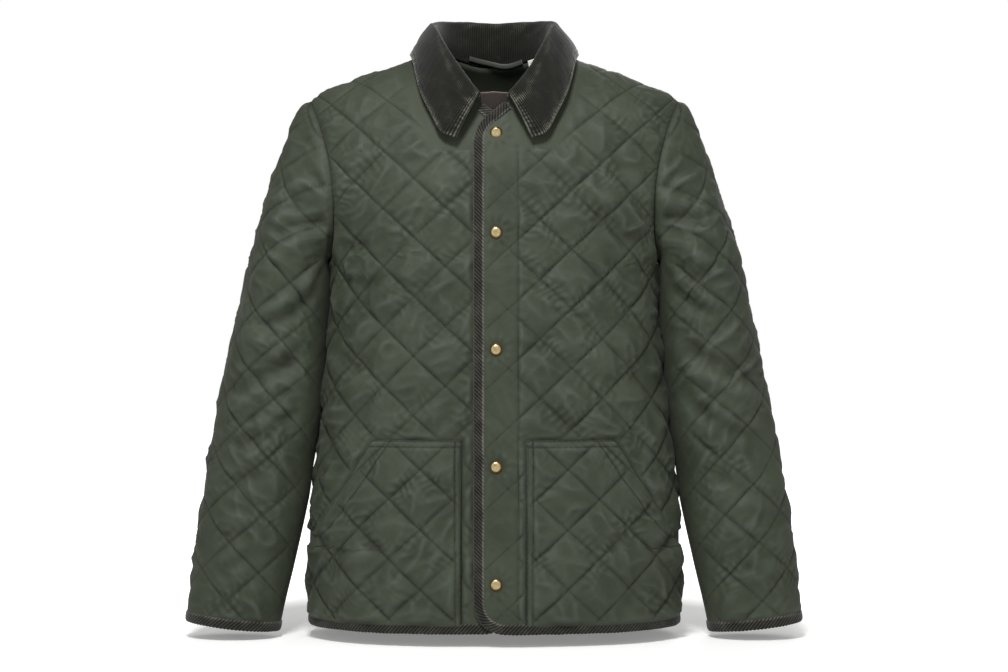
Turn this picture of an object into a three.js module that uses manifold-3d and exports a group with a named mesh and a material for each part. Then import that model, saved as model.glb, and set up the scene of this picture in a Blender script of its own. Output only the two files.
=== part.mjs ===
// A quilted jacket with a turned-down corduroy collar, two patch pockets and a snap front, filled out as if worn.
// Millimetres, +Z up, the front faces -Y. The origin is inside the neck, at the height of the nape, where the
// wearer's shoulders carry the jacket. +X is the wearer's left, whose front laps over the other one.
import * as THREE from "three";
import { mergeVertices } from "three/addons/utils/BufferGeometryUtils.js";
import Module from "manifold-3d";

const wasm = await Module();
wasm.setup();

// Cloth
const WALL = 2.4; // quilted cloth along a stitched line
const PUFF = 2.4; // how far the middle of a diamond stands above its stitching
const SEAM = 0.3; // gap between pieces that are sewn together

// Torso: half widths and depths at heights below the nape
const HEM_Z = -690;
const ROW = 17.125; // a quarter of a diamond's height
const SIDE_Y = 5; // side seams, shoulder seams and the middle of the body
const ROUNDNESS = 2.4; // 2 would be an ellipse, more is boxier
const TORSO = [
  { z: -690, half: 231, front: 128, back: 104 },
  { z: -600, half: 230, front: 127, back: 103 },
  { z: -548, half: 228.5, front: 126, back: 102 },
  { z: -439, half: 216, front: 124, back: 98 },
  { z: -350, half: 208.5, front: 123, back: 99 },
  { z: -278, half: 203.5, front: 122, back: 102 },
  { z: -246, half: 204, front: 121, back: 104 },
  { z: -200, half: 216, front: 120, back: 107 },
  { z: -164, half: 227, front: 118, back: 107 },
  { z: -100, half: 236, front: 114, back: 105 },
  { z: -40, half: 242, front: 110, back: 102 },
  { z: 40, half: 246, front: 108, back: 100 },
];
const CHEST_ROWS = 29; // rows of straight wall below the shoulders
const SHOULDER_ROWS = 15; // rows that arch over to the shoulder seam
const CHEST_Z = HEM_Z + CHEST_ROWS * ROW;
const QUARTER = 16; // columns from centre front to a side seam
const RIDGE = [
  { x: 0, z: 42 },
  { x: 50, z: 34 },
  { x: 85, z: 20 },
  { x: 119, z: 7 },
  { x: 169, z: -11 },
  { x: 194, z: -20.5 },
  { x: 219, z: -31 },
  { x: 231, z: -38 },
  { x: 246, z: -52 },
];

// Front edges, hem and their corduroy binding
const LAP = 24; // how far each front edge passes the centre
const LAP_FADE = 52; // beyond the lap, both fronts come back to one surface
const LIFT_TOP = 2.6;
const LIFT_UNDER = -2.8;
const BINDING = 12;
const BINDING_THICK = 4.6;
const CORNER = 38; // radius of the hem's front corners
const NECK_CORNER = { x: 12, z: -51, drop: 42 }; // where a front edge meets the neckline
const NECK = { halfX: 85, halfY: 69, y: -13 }; // plan of the neckline

// Armholes, as seen from the front
const ARMHOLE = { topX: 232, topZ: -39, underX: 203.5, underZ: -246, bowFront: 18, bowBack: 15 };

// Sleeves: the rail on the outside, the rail along the body by how far it is off the body's side, and the depth
const SLEEVE_COLUMNS = 20;
const SLEEVE_ROWS = 32;
const OUTER_RAIL = [
  { x: 232, z: -39 },
  { x: 244, z: -49 },
  { x: 251, z: -64 },
  { x: 261, z: -89 },
  { x: 271.5, z: -117 },
  { x: 287, z: -164 },
  { x: 307, z: -239 },
  { x: 329.5, z: -339 },
  { x: 349, z: -439 },
  { x: 365, z: -539 },
  { x: 375, z: -614 },
  { x: 380.5, z: -685 },
];
const INNER_RAIL = [
  { off: -0.2, z: -241.8 },
  { off: 4, z: -244.6 },
  { off: 4.4, z: -256 },
  { off: 3.6, z: -280 },
  { off: 3.2, z: -310 },
  { off: 3, z: -400 },
  { off: 3, z: -500 },
  { off: 3.4, z: -537 },
  { off: 17, z: -614 },
  { off: 28.3, z: -664 },
  { off: 35, z: -698 },
];
const SLEEVE_DEPTH = [
  { at: 0, half: 60, y: 3 },
  { at: 0.2, half: 75, y: 3 },
  { at: 0.4, half: 72, y: 1 },
  { at: 0.65, half: 60, y: -6 },
  { at: 0.85, half: 48, y: -18 },
  { at: 1, half: 41, y: -26 },
];
const CAP_END = 0.3; // share of the sleeve over which its head takes the armhole's shape
const CAP_TURN = 0.3; // share of the outer rail spent on turning round the armpit
const CAP_SOFT = 0.12;

// Collar: where it folds and where its outer edge lies, by angle from centre front
const COLLAR_HALF = 1.4;
const COLLAR_SECTIONS = 18;
const COLLAR = [
  { psi: 12, foldX: 19, foldY: -96, foldZ: -42, edgeX: 57, edgeY: -107, edgeZ: -94, roll: 2.2 },
  { psi: 30, foldX: 42, foldY: -84, foldZ: -10, edgeX: 74, edgeY: -97, edgeZ: -70, roll: 3.2 },
  { psi: 50, foldX: 61, foldY: -63, foldZ: 22, edgeX: 90, edgeY: -77, edgeZ: -36, roll: 3.6 },
  { psi: 70, foldX: 72.5, foldY: -38, foldZ: 44, edgeX: 100, edgeY: -43, edgeZ: 3, roll: 3.8 },
  { psi: 95, foldX: 77.5, foldY: -5, foldZ: 56, edgeX: 104, edgeY: 5, edgeZ: 16, roll: 4 },
  { psi: 125, foldX: 67, foldY: 32, foldZ: 63, edgeX: 86, edgeY: 51, edgeZ: 3, roll: 4 },
  { psi: 150, foldX: 42, foldY: 54, foldZ: 65, edgeX: 51, edgeY: 70, edgeZ: 0, roll: 4 },
  { psi: 180, foldX: 0, foldY: 62, foldZ: 65, edgeX: 0, edgeY: 78, edgeZ: -2, roll: 4 },
];

const TAPE = { width: 7, thick: 1.8, arch: 4 }; // finishes the neckline between the collar's ends

// Pockets, mirrored: inner side, top corner, slanted mouth and side seam
const POCKET = { innerX: 38, topX: 147, topZ: -458, slantX: 219, slantZ: -574, bottomZ: -677.4, outerX: 240 };

// Snaps down the centre front
const SNAP = { x: 2.5, radius: 7.4, height: 3.4, rim: 1.1, stand: 0.35 };
const SNAP_Z = [-90, -210, -350, -490, -630];
const PLACKET_X = 29; // the upper front's facing is stitched down here, and lies flat

const COLOURS = { cloth: 0x4d5246, cord: 0x37382f, brass: 0xb39a63, label: 0xe6e6e0, tape: 0x5a4a42 };

const smooth = (t) => {
  const c = Math.min(1, Math.max(0, t));
  return c * c * (3 - 2 * c);
};
const mix = (a, b, t) => a + (b - a) * t;

// Smooth reading of a table's column at a key, by Catmull-Rom between rows.
function read(table, key, column, at) {
  const last = table.length - 1;
  const c = Math.min(table[last][key], Math.max(table[0][key], at));
  let i = 0;
  while (i < last - 1 && c > table[i + 1][key]) i++;
  const slope = (k) => {
    const a = table[Math.max(0, k - 1)];
    const b = table[Math.min(last, k + 1)];
    return (b[column] - a[column]) / (b[key] - a[key]);
  };
  const span = table[i + 1][key] - table[i][key];
  const t = (c - table[i][key]) / span;
  const hermite = (a, b, ma, mb) =>
    (2 * t ** 3 - 3 * t ** 2 + 1) * a + (t ** 3 - 2 * t ** 2 + t) * ma +
    (3 * t ** 2 - 2 * t ** 3) * b + (t ** 3 - t ** 2) * mb;
  return hermite(table[i][column], table[i + 1][column], slope(i) * span, slope(i + 1) * span);
}

// Share of the quarter outline's width reached at each column, for columns of equal length round the body.
const OUTLINE = (() => {
  const steps = 4000;
  const chest = TORSO[4];
  const points = [];
  let length = 0;
  for (let i = 0; i <= steps; i++) {
    const a = (i / steps) * (Math.PI / 2);
    const share = Math.sin(a) ** (2 / ROUNDNESS);
    const x = chest.half * share;
    const y = chest.front * Math.cos(a) ** (2 / ROUNDNESS);
    if (i) length += Math.hypot(x - points[i - 1].x, y - points[i - 1].y);
    points.push({ x, y, share, length });
  }
  return points.map((p) => ({ share: p.share, column: (p.length / length) * QUARTER }));
})();

function lookUp(list, key, column, at) {
  let low = 0;
  let high = list.length - 1;
  while (high - low > 1) {
    const middle = (low + high) >> 1;
    if (list[middle][key] <= at) low = middle;
    else high = middle;
  }
  const t = (at - list[low][key]) / (list[high][key] - list[low][key]);
  return mix(list[low][column], list[high][column], Math.min(1, Math.max(0, t)));
}
const shareOfColumn = (u) => Math.sign(u) * lookUp(OUTLINE, "column", "share", Math.abs(u));
const columnOfShare = (s) => Math.sign(s) * lookUp(OUTLINE, "share", "column", Math.abs(s));

// Angles of the shoulder rows, spaced evenly along the arch at a hand's width from the neck.
const ARCH_AT = 100;
const ARCH = (() => {
  const height = read(RIDGE, "x", "z", ARCH_AT) - CHEST_Z;
  const depth = TORSO[8].front;
  const steps = 2000;
  const list = [{ angle: 0, length: 0 }];
  for (let i = 1; i <= steps; i++) {
    const a = (i / steps) * (Math.PI / 2);
    const step = Math.hypot(height * Math.cos(a), depth * Math.sin(a)) * (Math.PI / 2 / steps);
    list.push({ angle: a, length: list[i - 1].length + step });
  }
  const whole = list[steps].length;
  return list.map((p) => ({ angle: p.angle, row: (p.length / whole) * SHOULDER_ROWS }));
})();

// A point of the torso from its share of the half width and its height. Side is -1 in front and 1 at the back.
function torsoAt(share, z, side) {
  const x = read(TORSO, "z", "half", z) * share;
  const depth = read(TORSO, "z", side < 0 ? "front" : "back", z);
  const rise = Math.min(1, Math.max(0, (z - CHEST_Z) / (read(RIDGE, "x", "z", Math.abs(x)) - CHEST_Z)));
  const round = Math.max(0, 1 - Math.abs(share) ** ROUNDNESS) ** (1 / ROUNDNESS);
  return new THREE.Vector3(x, SIDE_Y + side * depth * round * Math.sqrt(1 - rise * rise), z);
}

// A point of the torso from its column round the body and its row above the hem.
function torsoPoint(u, row, side) {
  const share = shareOfColumn(u);
  if (row <= CHEST_ROWS) return torsoAt(share, HEM_Z + row * ROW, side);
  const angle = lookUp(ARCH, "row", "angle", row - CHEST_ROWS);
  let z = -40;
  for (let i = 0; i < 6; i++) {
    const x = Math.abs(read(TORSO, "z", "half", z) * share);
    z = mix(CHEST_Z, read(RIDGE, "x", "z", x), Math.sin(angle));
  }
  const x = read(TORSO, "z", "half", z) * share;
  const depth = read(TORSO, "z", side < 0 ? "front" : "back", z);
  const round = Math.max(0, 1 - Math.abs(share) ** ROUNDNESS) ** (1 / ROUNDNESS);
  return new THREE.Vector3(x, SIDE_Y + side * depth * round * Math.cos(angle), z);
}

// Outward normal of a surface that is a function of two parameters, kept inside its limits.
function normalOf(surface, a, b, limits, flip) {
  const e = 0.02;
  const [a0, a1, b0, b1] = limits;
  const da = surface(Math.min(a1, a + e), b).sub(surface(Math.max(a0, a - e), b));
  const db = surface(a, Math.min(b1, b + e)).sub(surface(a, Math.max(b0, b - e)));
  return da.cross(db).normalize().multiplyScalar(flip);
}

// Closed solid of a wall from its outer grid and an inner grid, which has half as many points each way unless it
// follows another piece's cells. crease(i, j) says which diagonal of a cell lies on a stitched line.
// A closed wall joins its last column to its first.
function wallSolid({ columns, rows, outer, inner, crease, closed = false, innerCrease = null }) {
  const positions = [];
  const faces = [];
  const put = (p) => positions.push(p.x, p.y, p.z) / 3 - 1;
  const grid = (across, up, point) => {
    const ids = [];
    for (let i = 0; i < across + (closed ? 0 : 1); i++) {
      ids.push([]);
      for (let j = 0; j <= up; j++) ids[i].push(put(point(i, j)));
    }
    if (closed) ids.push(ids[0]);
    return ids;
  };
  const step = innerCrease ? 1 : 2;
  const o = grid(columns, rows, outer);
  const n = grid(columns / step, rows / step, (i, j) => inner(step * i, step * j));
  for (let i = 0; i < columns; i++) {
    for (let j = 0; j < rows; j++) {
      const [a, b, c, d] = [o[i][j], o[i + 1][j], o[i + 1][j + 1], o[i][j + 1]];
      if (crease(i, j)) faces.push([a, b, c], [a, c, d]);
      else faces.push([a, b, d], [b, c, d]);
    }
  }
  for (let i = 0; i < columns / step; i++) {
    for (let j = 0; j < rows / step; j++) {
      const [a, b, c, d] = [n[i][j], n[i + 1][j], n[i + 1][j + 1], n[i][j + 1]];
      if (!innerCrease || innerCrease(i, j)) faces.push([a, c, b], [a, d, c]);
      else faces.push([a, d, b], [b, d, c]);
    }
  }
  const edge = (fine, coarse, turn) => {
    for (let k = 0; k < coarse.length - 1; k++) {
      const [c0, c1] = [coarse[k], coarse[k + 1]];
      const [f0, f1, f2] = [fine[step * k], fine[step * k + 1], fine[step * k + 2]];
      const strip = step === 2 ? [[f0, c0, f1], [f1, c0, c1], [f1, c1, f2]] : [[f0, c0, f1], [f1, c0, c1]];
      for (const t of strip) faces.push(turn ? t.reverse() : t);
    }
  };
  edge(o.map((c) => c[0]), n.map((c) => c[0]), false);
  edge(o.map((c) => c[rows]), n.map((c) => c[rows / step]), true);
  if (!closed) {
    edge(o[0], n[0], true);
    edge(o[columns], n[columns / step], false);
  }
  return solidFrom(positions, faces.flat());
}

function solidFrom(positions, triangles) {
  const geometry = new THREE.BufferGeometry();
  geometry.setAttribute("position", new THREE.BufferAttribute(new Float32Array(positions), 3));
  geometry.setIndex(triangles);
  return solidOf(geometry);
}

function solidOf(geometry) {
  const bare = geometry.clone();
  bare.deleteAttribute("normal");
  bare.deleteAttribute("uv");
  const merged = mergeVertices(bare, 1e-4);
  const mesh = { numProp: 3, vertProperties: merged.attributes.position.array, triVerts: new Uint32Array(merged.index.array) };
  const solid = new wasm.Manifold(new wasm.Mesh(mesh));
  if (solid.volume() > 0) return solid;
  for (let i = 0; i < mesh.triVerts.length; i += 3)
    [mesh.triVerts[i + 1], mesh.triVerts[i + 2]] = [mesh.triVerts[i + 2], mesh.triVerts[i + 1]];
  return new wasm.Manifold(new wasm.Mesh(mesh));
}

// An upright prism on the XZ plane, through the whole depth of the jacket.
function frontPrism(points, from, to) {
  const shape = new THREE.Shape(points.map((p) => new THREE.Vector2(p.x, p.z)));
  const geometry = new THREE.ExtrudeGeometry(shape, { depth: to - from, bevelEnabled: false, curveSegments: 1 });
  geometry.rotateX(Math.PI / 2);
  geometry.translate(0, to, 0);
  return solidOf(geometry);
}

// Height of the quilting over a grid point: 0 on the stitched diagonals, 1 in the middle of a diamond.
function quiltHeight(i, j, phase) {
  const off = (k) => Math.min(((k % 4) + 4) % 4, 4 - (((k % 4) + 4) % 4));
  const near = Math.min(off(i + j - phase), off(i - j + phase));
  return [0, 0.72, 1][near];
}
const onCrease = (i, j, phase) => (((i - j + phase) % 4) + 4) % 4 === 0 || (((i + j - phase) % 4) + 4) % 4 === 1;

// How far a front stands off the common surface near the lap. Lap is 1 for the upper front and -1 for the lower.
function liftOf(x, lap) {
  if (!lap) return 0;
  const fade = 1 - smooth((x * lap - LAP) / LAP_FADE);
  return (lap > 0 ? LIFT_TOP : LIFT_UNDER) * fade;
}

const inPocket = (x, z) => {
  const side = Math.abs(x);
  if (z > POCKET.topZ + 4 || side < POCKET.innerX - 4) return false;
  const mouth = (z - POCKET.topZ) / (POCKET.slantZ - POCKET.topZ);
  return mouth > 1 || side < mix(POCKET.topX, POCKET.slantX, mouth) + 4;
};
const underCollar = (p) => Math.hypot(p.x / 118, (p.y - NECK.y) / 112) < 1 && p.z > -110;

// How full the quilting is at a place of a torso panel.
function fullness(p, lap) {
  const flatPocket = lap && inPocket(p.x, p.z);
  const flatPlacket = lap && p.x > -LAP + 2 && p.x < (lap > 0 ? PLACKET_X : LAP + 2);
  return flatPocket || flatPlacket || underCollar(p) ? 0 : 1;
}

// A place on a torso panel, and which way is out. Over is how far it stands off the plain surface, beside the lap.
function panelPlace(u, row, { side, lap }, over) {
  const surface = (a, b) => torsoPoint(a, b, side);
  const p = surface(u, row);
  const normal = normalOf(surface, u, row, [-QUARTER, QUARTER, 0, CHEST_ROWS + SHOULDER_ROWS], side < 0 ? 1 : -1);
  p.addScaledVector(normal, liftOf(p.x, lap) + over(p));
  p.y += (side * SEAM) / 2;
  return p;
}
const panelOuter = (u, row, panel, extra = 0) =>
  panelPlace(u, row, panel, (p) => PUFF * quiltHeight(u, row, panel.phase) * fullness(p, panel.lap) + extra);

// The armhole's outline from the front: angle 0 is the shoulder point, half a turn is the underarm.
function armholeAt(angle, bow) {
  const c = Math.cos(angle);
  const middleX = (ARMHOLE.topX + ARMHOLE.underX) / 2;
  const middleZ = (ARMHOLE.topZ + ARMHOLE.underZ) / 2;
  const x = middleX + ((ARMHOLE.topX - ARMHOLE.underX) / 2) * c - bow * Math.sin(angle) ** 2;
  return { x, z: middleZ + ((ARMHOLE.topZ - ARMHOLE.underZ) / 2) * c };
}
function armholeOutline(bow, gap) {
  const list = [];
  for (let k = 20; k >= 0; k--) {
    const p = armholeAt((k / 20) * Math.PI, bow);
    list.push({ x: p.x - gap, z: p.z });
  }
  return list;
}

// A front's free edge from the neckline down to the hem, moved in by a width. It is drawn for the upper front.
function frontEdge(inset) {
  const list = [];
  const turn = (Math.PI / 180) * 45;
  const neck = { x: NECK_CORNER.x + inset * Math.sin(turn), z: NECK_CORNER.z - inset * Math.cos(turn) };
  list.push({ x: neck.x + 24, z: neck.z + 24 }, neck);
  const bend = NECK_CORNER.drop;
  for (let k = 1; k <= 5; k++) {
    const a = turn * (k / 5);
    const radius = bend - inset;
    list.push({ x: -LAP + bend - radius * Math.sin(turn + a), z: -101 + radius * Math.cos(turn + a) });
  }
  for (let k = 0; k <= 6; k++) {
    const a = (Math.PI / 2) * (k / 6);
    const radius = CORNER - inset;
    list.push({ x: -LAP + CORNER - radius * Math.cos(a), z: HEM_Z + CORNER - radius * Math.sin(a) });
  }
  return list;
}

// Outline of a torso panel from the front, inside its binding.
function panelOutline(side, lap) {
  const bow = side < 0 ? ARMHOLE.bowFront : ARMHOLE.bowBack;
  const arm = armholeOutline(bow, 0);
  const far = 330;
  const rightSide = [{ x: far, z: HEM_Z + BINDING + SEAM }, { x: far, z: ARMHOLE.underZ }, ...arm, { x: ARMHOLE.topX + 22, z: 90 }];
  if (!lap) return [...rightSide, ...rightSide.map((p) => ({ x: -p.x, z: p.z })).reverse()];
  const edge = frontEdge(BINDING + SEAM);
  const outline = [...rightSide, { x: edge[0].x, z: 90 }, ...edge];
  return lap > 0 ? outline : outline.map((p) => ({ x: -p.x, z: p.z })).reverse();
}

function neckPrism(grow) {
  const shape = new THREE.Shape();
  shape.absellipse(0, 0, NECK.halfX + grow, NECK.halfY + grow, 0, 2 * Math.PI);
  const geometry = new THREE.ExtrudeGeometry(shape, { depth: 220, bevelEnabled: false, curveSegments: 24 });
  geometry.translate(0, NECK.y, -110);
  return solidOf(geometry);
}

function torsoPanel(panel) {
  const { side, lap, phase } = panel;
  const first = lap > 0 ? -2 : -QUARTER;
  const last = lap < 0 ? 2 : QUARTER;
  const wall = wallSolid({
    columns: last - first,
    rows: CHEST_ROWS + SHOULDER_ROWS,
    outer: (i, j) => panelOuter(first + i, j, panel),
    inner: (i, j) => panelPlace(first + i, j, panel, () => -WALL),
    crease: (i, j) => onCrease(first + i, j, phase),
  });
  return wall.intersect(frontPrism(panelOutline(side, lap), -200, 200)).subtract(neckPrism(0));
}

// A pocket is cut from the same cloth. Its back is the front panel's own outer points moved out.
function pocket(panel, phase) {
  const first = panel.lap > 0 ? 2 : -QUARTER;
  const wall = wallSolid({
    columns: QUARTER - 2,
    rows: 14,
    outer: (i, j) => panelOuter(first + i, j, panel, SEAM + WALL + PUFF * quiltHeight(first + i, j, phase)),
    inner: (i, j) => panelOuter(first + i, j, panel, SEAM),
    crease: (i, j) => onCrease(first + i, j, phase),
    innerCrease: (i, j) => onCrease(first + i, j, panel.phase),
  });
  const outline = [
    { x: POCKET.innerX, z: POCKET.bottomZ },
    { x: POCKET.outerX, z: POCKET.bottomZ },
    { x: POCKET.outerX, z: POCKET.slantZ - 22 },
    { x: POCKET.slantX, z: POCKET.slantZ },
    { x: POCKET.topX, z: POCKET.topZ },
    { x: POCKET.innerX, z: POCKET.topZ },
  ].map((p) => ({ x: p.x * panel.lap, z: p.z }));
  return wall.intersect(frontPrism(panel.lap > 0 ? outline : outline.reverse(), -200, SIDE_Y - 2));
}

// A point and normal in the middle of the wall. Columns past a side seam go on round the back.
function wallMiddle(u, z, lap) {
  const wrap = ((u + 32) % 64 + 64) % 64 - 32;
  const side = Math.abs(wrap) <= QUARTER ? -1 : 1;
  const column = side < 0 ? wrap : Math.sign(wrap) * (32 - Math.abs(wrap));
  const surface = (c, height) => torsoAt(shareOfColumn(c), height, side);
  const p = surface(column, z);
  const normal = normalOf(surface, column, z, [-QUARTER, QUARTER, HEM_Z, 0], side < 0 ? 1 : -1);
  p.addScaledVector(normal, liftOf(p.x, side < 0 ? lap : 0) - WALL / 2);
  return { p, normal };
}

// The same, on a front, for a place given from the front.
function frontMiddle(x, z, lap) {
  let [atX, atZ] = [x, z];
  let found;
  for (let i = 0; i < 5; i++) {
    found = wallMiddle(columnOfShare(atX / read(TORSO, "z", "half", atZ)), atZ, lap);
    atX += x - found.p.x;
    atZ += z - found.p.z;
  }
  return found;
}

// Closed solid of a flat, rounded section carried along a line. Width is across the cloth, in its own plane.
function sweep(line, normals, width, thick, closed) {
  const corners = [[-0.5, 0], [-0.4, -0.5], [0.4, -0.5], [0.5, 0], [0.4, 0.5], [-0.4, 0.5]];
  const positions = [];
  const faces = [];
  const count = line.length;
  for (let i = 0; i < count; i++) {
    const before = line[closed ? (i + count - 1) % count : Math.max(0, i - 1)];
    const after = line[closed ? (i + 1) % count : Math.min(count - 1, i + 1)];
    const along = after.clone().sub(before).normalize();
    const across = normals[i].clone().cross(along).normalize();
    const up = along.clone().cross(across).normalize();
    for (const [a, b] of corners) {
      const p = line[i].clone().addScaledVector(across, a * width).addScaledVector(up, b * thick);
      positions.push(p.x, p.y, p.z);
    }
  }
  const m = corners.length;
  const rings = closed ? count : count - 1;
  for (let i = 0; i < rings; i++) {
    for (let k = 0; k < m; k++) {
      const [a, b] = [i * m + k, i * m + ((k + 1) % m)];
      const [c, d] = [((i + 1) % count) * m + k, ((i + 1) % count) * m + ((k + 1) % m)];
      faces.push(a, b, c, b, d, c);
    }
  }
  if (!closed) {
    for (let k = 1; k < m - 1; k++) {
      const end = (count - 1) * m;
      faces.push(0, k + 1, k, end, end + k, end + k + 1);
    }
  }
  return solidFrom(positions, faces);
}

// The binding runs down one front edge, round the hem and up the other front edge in one piece.
function edgeBinding() {
  const line = [];
  const normals = [];
  const add = ({ p, normal }) => {
    line.push(p);
    normals.push(normal);
  };
  const half = BINDING / 2;
  const edge = frontEdge(half).slice(1);
  const fine = [edge[0]];
  for (let k = 1; k < edge.length; k++) {
    const [q, p] = [edge[k - 1], edge[k]];
    const parts = Math.max(1, Math.round(Math.hypot(p.x - q.x, p.z - q.z) / 34));
    for (let s = 1; s <= parts; s++) fine.push({ x: mix(q.x, p.x, s / parts), z: mix(q.z, p.z, s / parts) });
  }
  fine.forEach((p) => add(frontMiddle(p.x, p.z, 1)));
  const start = columnOfShare(edge[edge.length - 1].x / TORSO[0].half);
  const steps = 40;
  for (let k = 1; k < steps; k++) {
    const u = mix(start, 64 - start, k / steps);
    add(wallMiddle(u, HEM_Z + half, u < 32 ? 1 : -1));
  }
  fine.slice().reverse().forEach((p) => add(frontMiddle(-p.x, p.z, -1)));
  return sweep(line, normals, BINDING, BINDING_THICK, false);
}

// Points along a rail, spaced by its own length.
function railCurve(rail) {
  return new THREE.CatmullRomCurve3(rail.map((p) => new THREE.Vector3(p.x, 0, p.z)), false, "centripetal");
}
const outerRail = railCurve(OUTER_RAIL);
const innerRail = railCurve(INNER_RAIL.map(({ off, z }) => ({ x: read(TORSO, "z", "half", z) + off, z })));

// The sleeve's surface for the wearer's left. Column 0 is the outside, a quarter turn is the front, half is the body side.
function sleevePoint(column, row) {
  const angle = (column / SLEEVE_COLUMNS) * 2 * Math.PI;
  const t = Math.min(1, Math.max(0, row / SLEEVE_ROWS));
  const ease = (w) => Math.hypot(w - CAP_TURN, CAP_SOFT) + w - CAP_TURN;
  const inward = (ease(t) - ease(0)) / (ease(1) - ease(0));
  const outside = outerRail.getPointAt(t);
  const inside = innerRail.getPointAt(inward);
  const c = Math.cos(angle);
  const s = Math.sin(angle);
  const free = smooth(t / CAP_END);
  const bow = s > 0 ? ARMHOLE.bowFront : ARMHOLE.bowBack;
  const middle = outside.clone().add(inside).multiplyScalar(0.5);
  const p = middle.addScaledVector(outside.clone().sub(inside), c / 2);
  p.x -= bow * s * s * (1 - free) ** 2;
  const edge = armholeAt(Math.abs(angle > Math.PI ? 2 * Math.PI - angle : angle), bow);
  const seam = torsoAt(Math.min(1, edge.x / read(TORSO, "z", "half", edge.z)), edge.z, s > 0 ? -1 : 1);
  const depth = read(SLEEVE_DEPTH, "at", "half", t);
  p.y = mix(seam.y, read(SLEEVE_DEPTH, "at", "y", t) - depth * s, free);
  return p;
}

// A sleeve is one tube from the armhole to the cuff's binding.
function sleeve(sign, phase) {
  const cuff = SLEEVE_ROWS * (1 - (BINDING + 3 * SEAM) / outerRail.getLength());
  const place = (i, j, out) => {
    const row = (j / SLEEVE_ROWS) * cuff;
    const p = sleevePoint(i, row);
    const normal = normalOf(sleevePoint, i, row, [-1, SLEEVE_COLUMNS + 1, 0, SLEEVE_ROWS], 1);
    const bodySide = smooth(1.3 * (1 + Math.cos((i / SLEEVE_COLUMNS) * 2 * Math.PI)));
    const head = smooth(j / 3);
    const puff = out ? PUFF * quiltHeight(i, j, phase) * bodySide * head : -WALL;
    p.addScaledVector(normal, puff);
    if (j === 0) p.x = Math.max(p.x, seamX(p, i) + 2 * SEAM);
    p.x *= sign;
    return p;
  };
  return wallSolid({
    columns: SLEEVE_COLUMNS,
    rows: SLEEVE_ROWS,
    outer: (i, j) => place(i, j, true),
    inner: (i, j) => place(i, j, false),
    crease: (i, j) => onCrease(i, j, phase),
    closed: true,
  });
}

// Where the armhole's cut passes at a point's height.
function seamX(p, column) {
  const s = Math.sin((column / SLEEVE_COLUMNS) * 2 * Math.PI);
  const middle = (ARMHOLE.topZ + ARMHOLE.underZ) / 2;
  const c = Math.min(1, Math.max(-1, (p.z - middle) / ((ARMHOLE.topZ - ARMHOLE.underZ) / 2)));
  return armholeAt(Math.acos(c), s > 0 ? ARMHOLE.bowFront : ARMHOLE.bowBack).x;
}

function cuffBinding(sign) {
  const row = SLEEVE_ROWS * (1 - BINDING / 2 / outerRail.getLength());
  const line = [];
  const normals = [];
  const count = 28;
  for (let k = 0; k < count; k++) {
    const column = (k / count) * SLEEVE_COLUMNS;
    const normal = normalOf(sleevePoint, column, row, [-1, SLEEVE_COLUMNS + 1, 0, SLEEVE_ROWS], 1);
    const p = sleevePoint(column, row).addScaledVector(normal, -WALL / 2);
    line.push(new THREE.Vector3(p.x * sign, p.y, p.z));
    normals.push(new THREE.Vector3(normal.x * sign, normal.y, normal.z));
  }
  return sweep(line, normals, BINDING, BINDING_THICK, true);
}

// The neckline at an angle from centre front: a point of the torso above its plan, found by halving.
function neckline(psi, inset) {
  const x = (NECK.halfX - inset) * Math.sin(psi);
  const y = NECK.y - (NECK.halfY - inset) * Math.cos(psi);
  const side = y < SIDE_Y ? -1 : 1;
  let low = CHEST_Z;
  let high = read(RIDGE, "x", "z", Math.abs(x));
  for (let i = 0; i < 30; i++) {
    const z = (low + high) / 2;
    const p = torsoAt(x / read(TORSO, "z", "half", z), z, side);
    if (Math.abs(p.y - SIDE_Y) > Math.abs(y - SIDE_Y)) low = z;
    else high = z;
  }
  return new THREE.Vector3(x, y, low);
}

// The collar's middle surface: across is 0 at the neck seam, 3 on the fold and 7 on the outer edge.
function collarPoint(psi, across) {
  const turn = Math.abs(psi);
  const degrees = (turn * 180) / Math.PI;
  const at = (column) => read(COLLAR, "psi", column, degrees);
  const out = new THREE.Vector3(Math.sin(turn), -Math.cos(turn), 0);
  const seam = neckline(turn, COLLAR_HALF + 2 * SEAM);
  seam.z -= 2;
  const fold = new THREE.Vector3(at("foldX"), at("foldY"), at("foldZ"));
  const edge = new THREE.Vector3(at("edgeX"), at("edgeY"), at("edgeZ"));
  const roll = at("roll");
  const rising = fold.clone().addScaledVector(out, -roll).add(new THREE.Vector3(0, 0, -roll));
  const falling = fold.clone().addScaledVector(out, roll).add(new THREE.Vector3(0, 0, -roll));
  const fallAt = (s) => falling.clone().lerp(edge, s).addScaledVector(out, 3 * Math.sin(Math.PI * s));
  const stand = seam.clone().lerp(rising, 0.4).addScaledVector(out, -3.5);
  const points = [seam, stand, rising, fold, falling, fallAt(0.33), fallAt(0.67), edge];
  const low = Math.min(6, Math.floor(across));
  const p = points[low].clone().lerp(points[low + 1], across - low);
  if (psi < 0) p.x = -p.x;
  return p;
}

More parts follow.
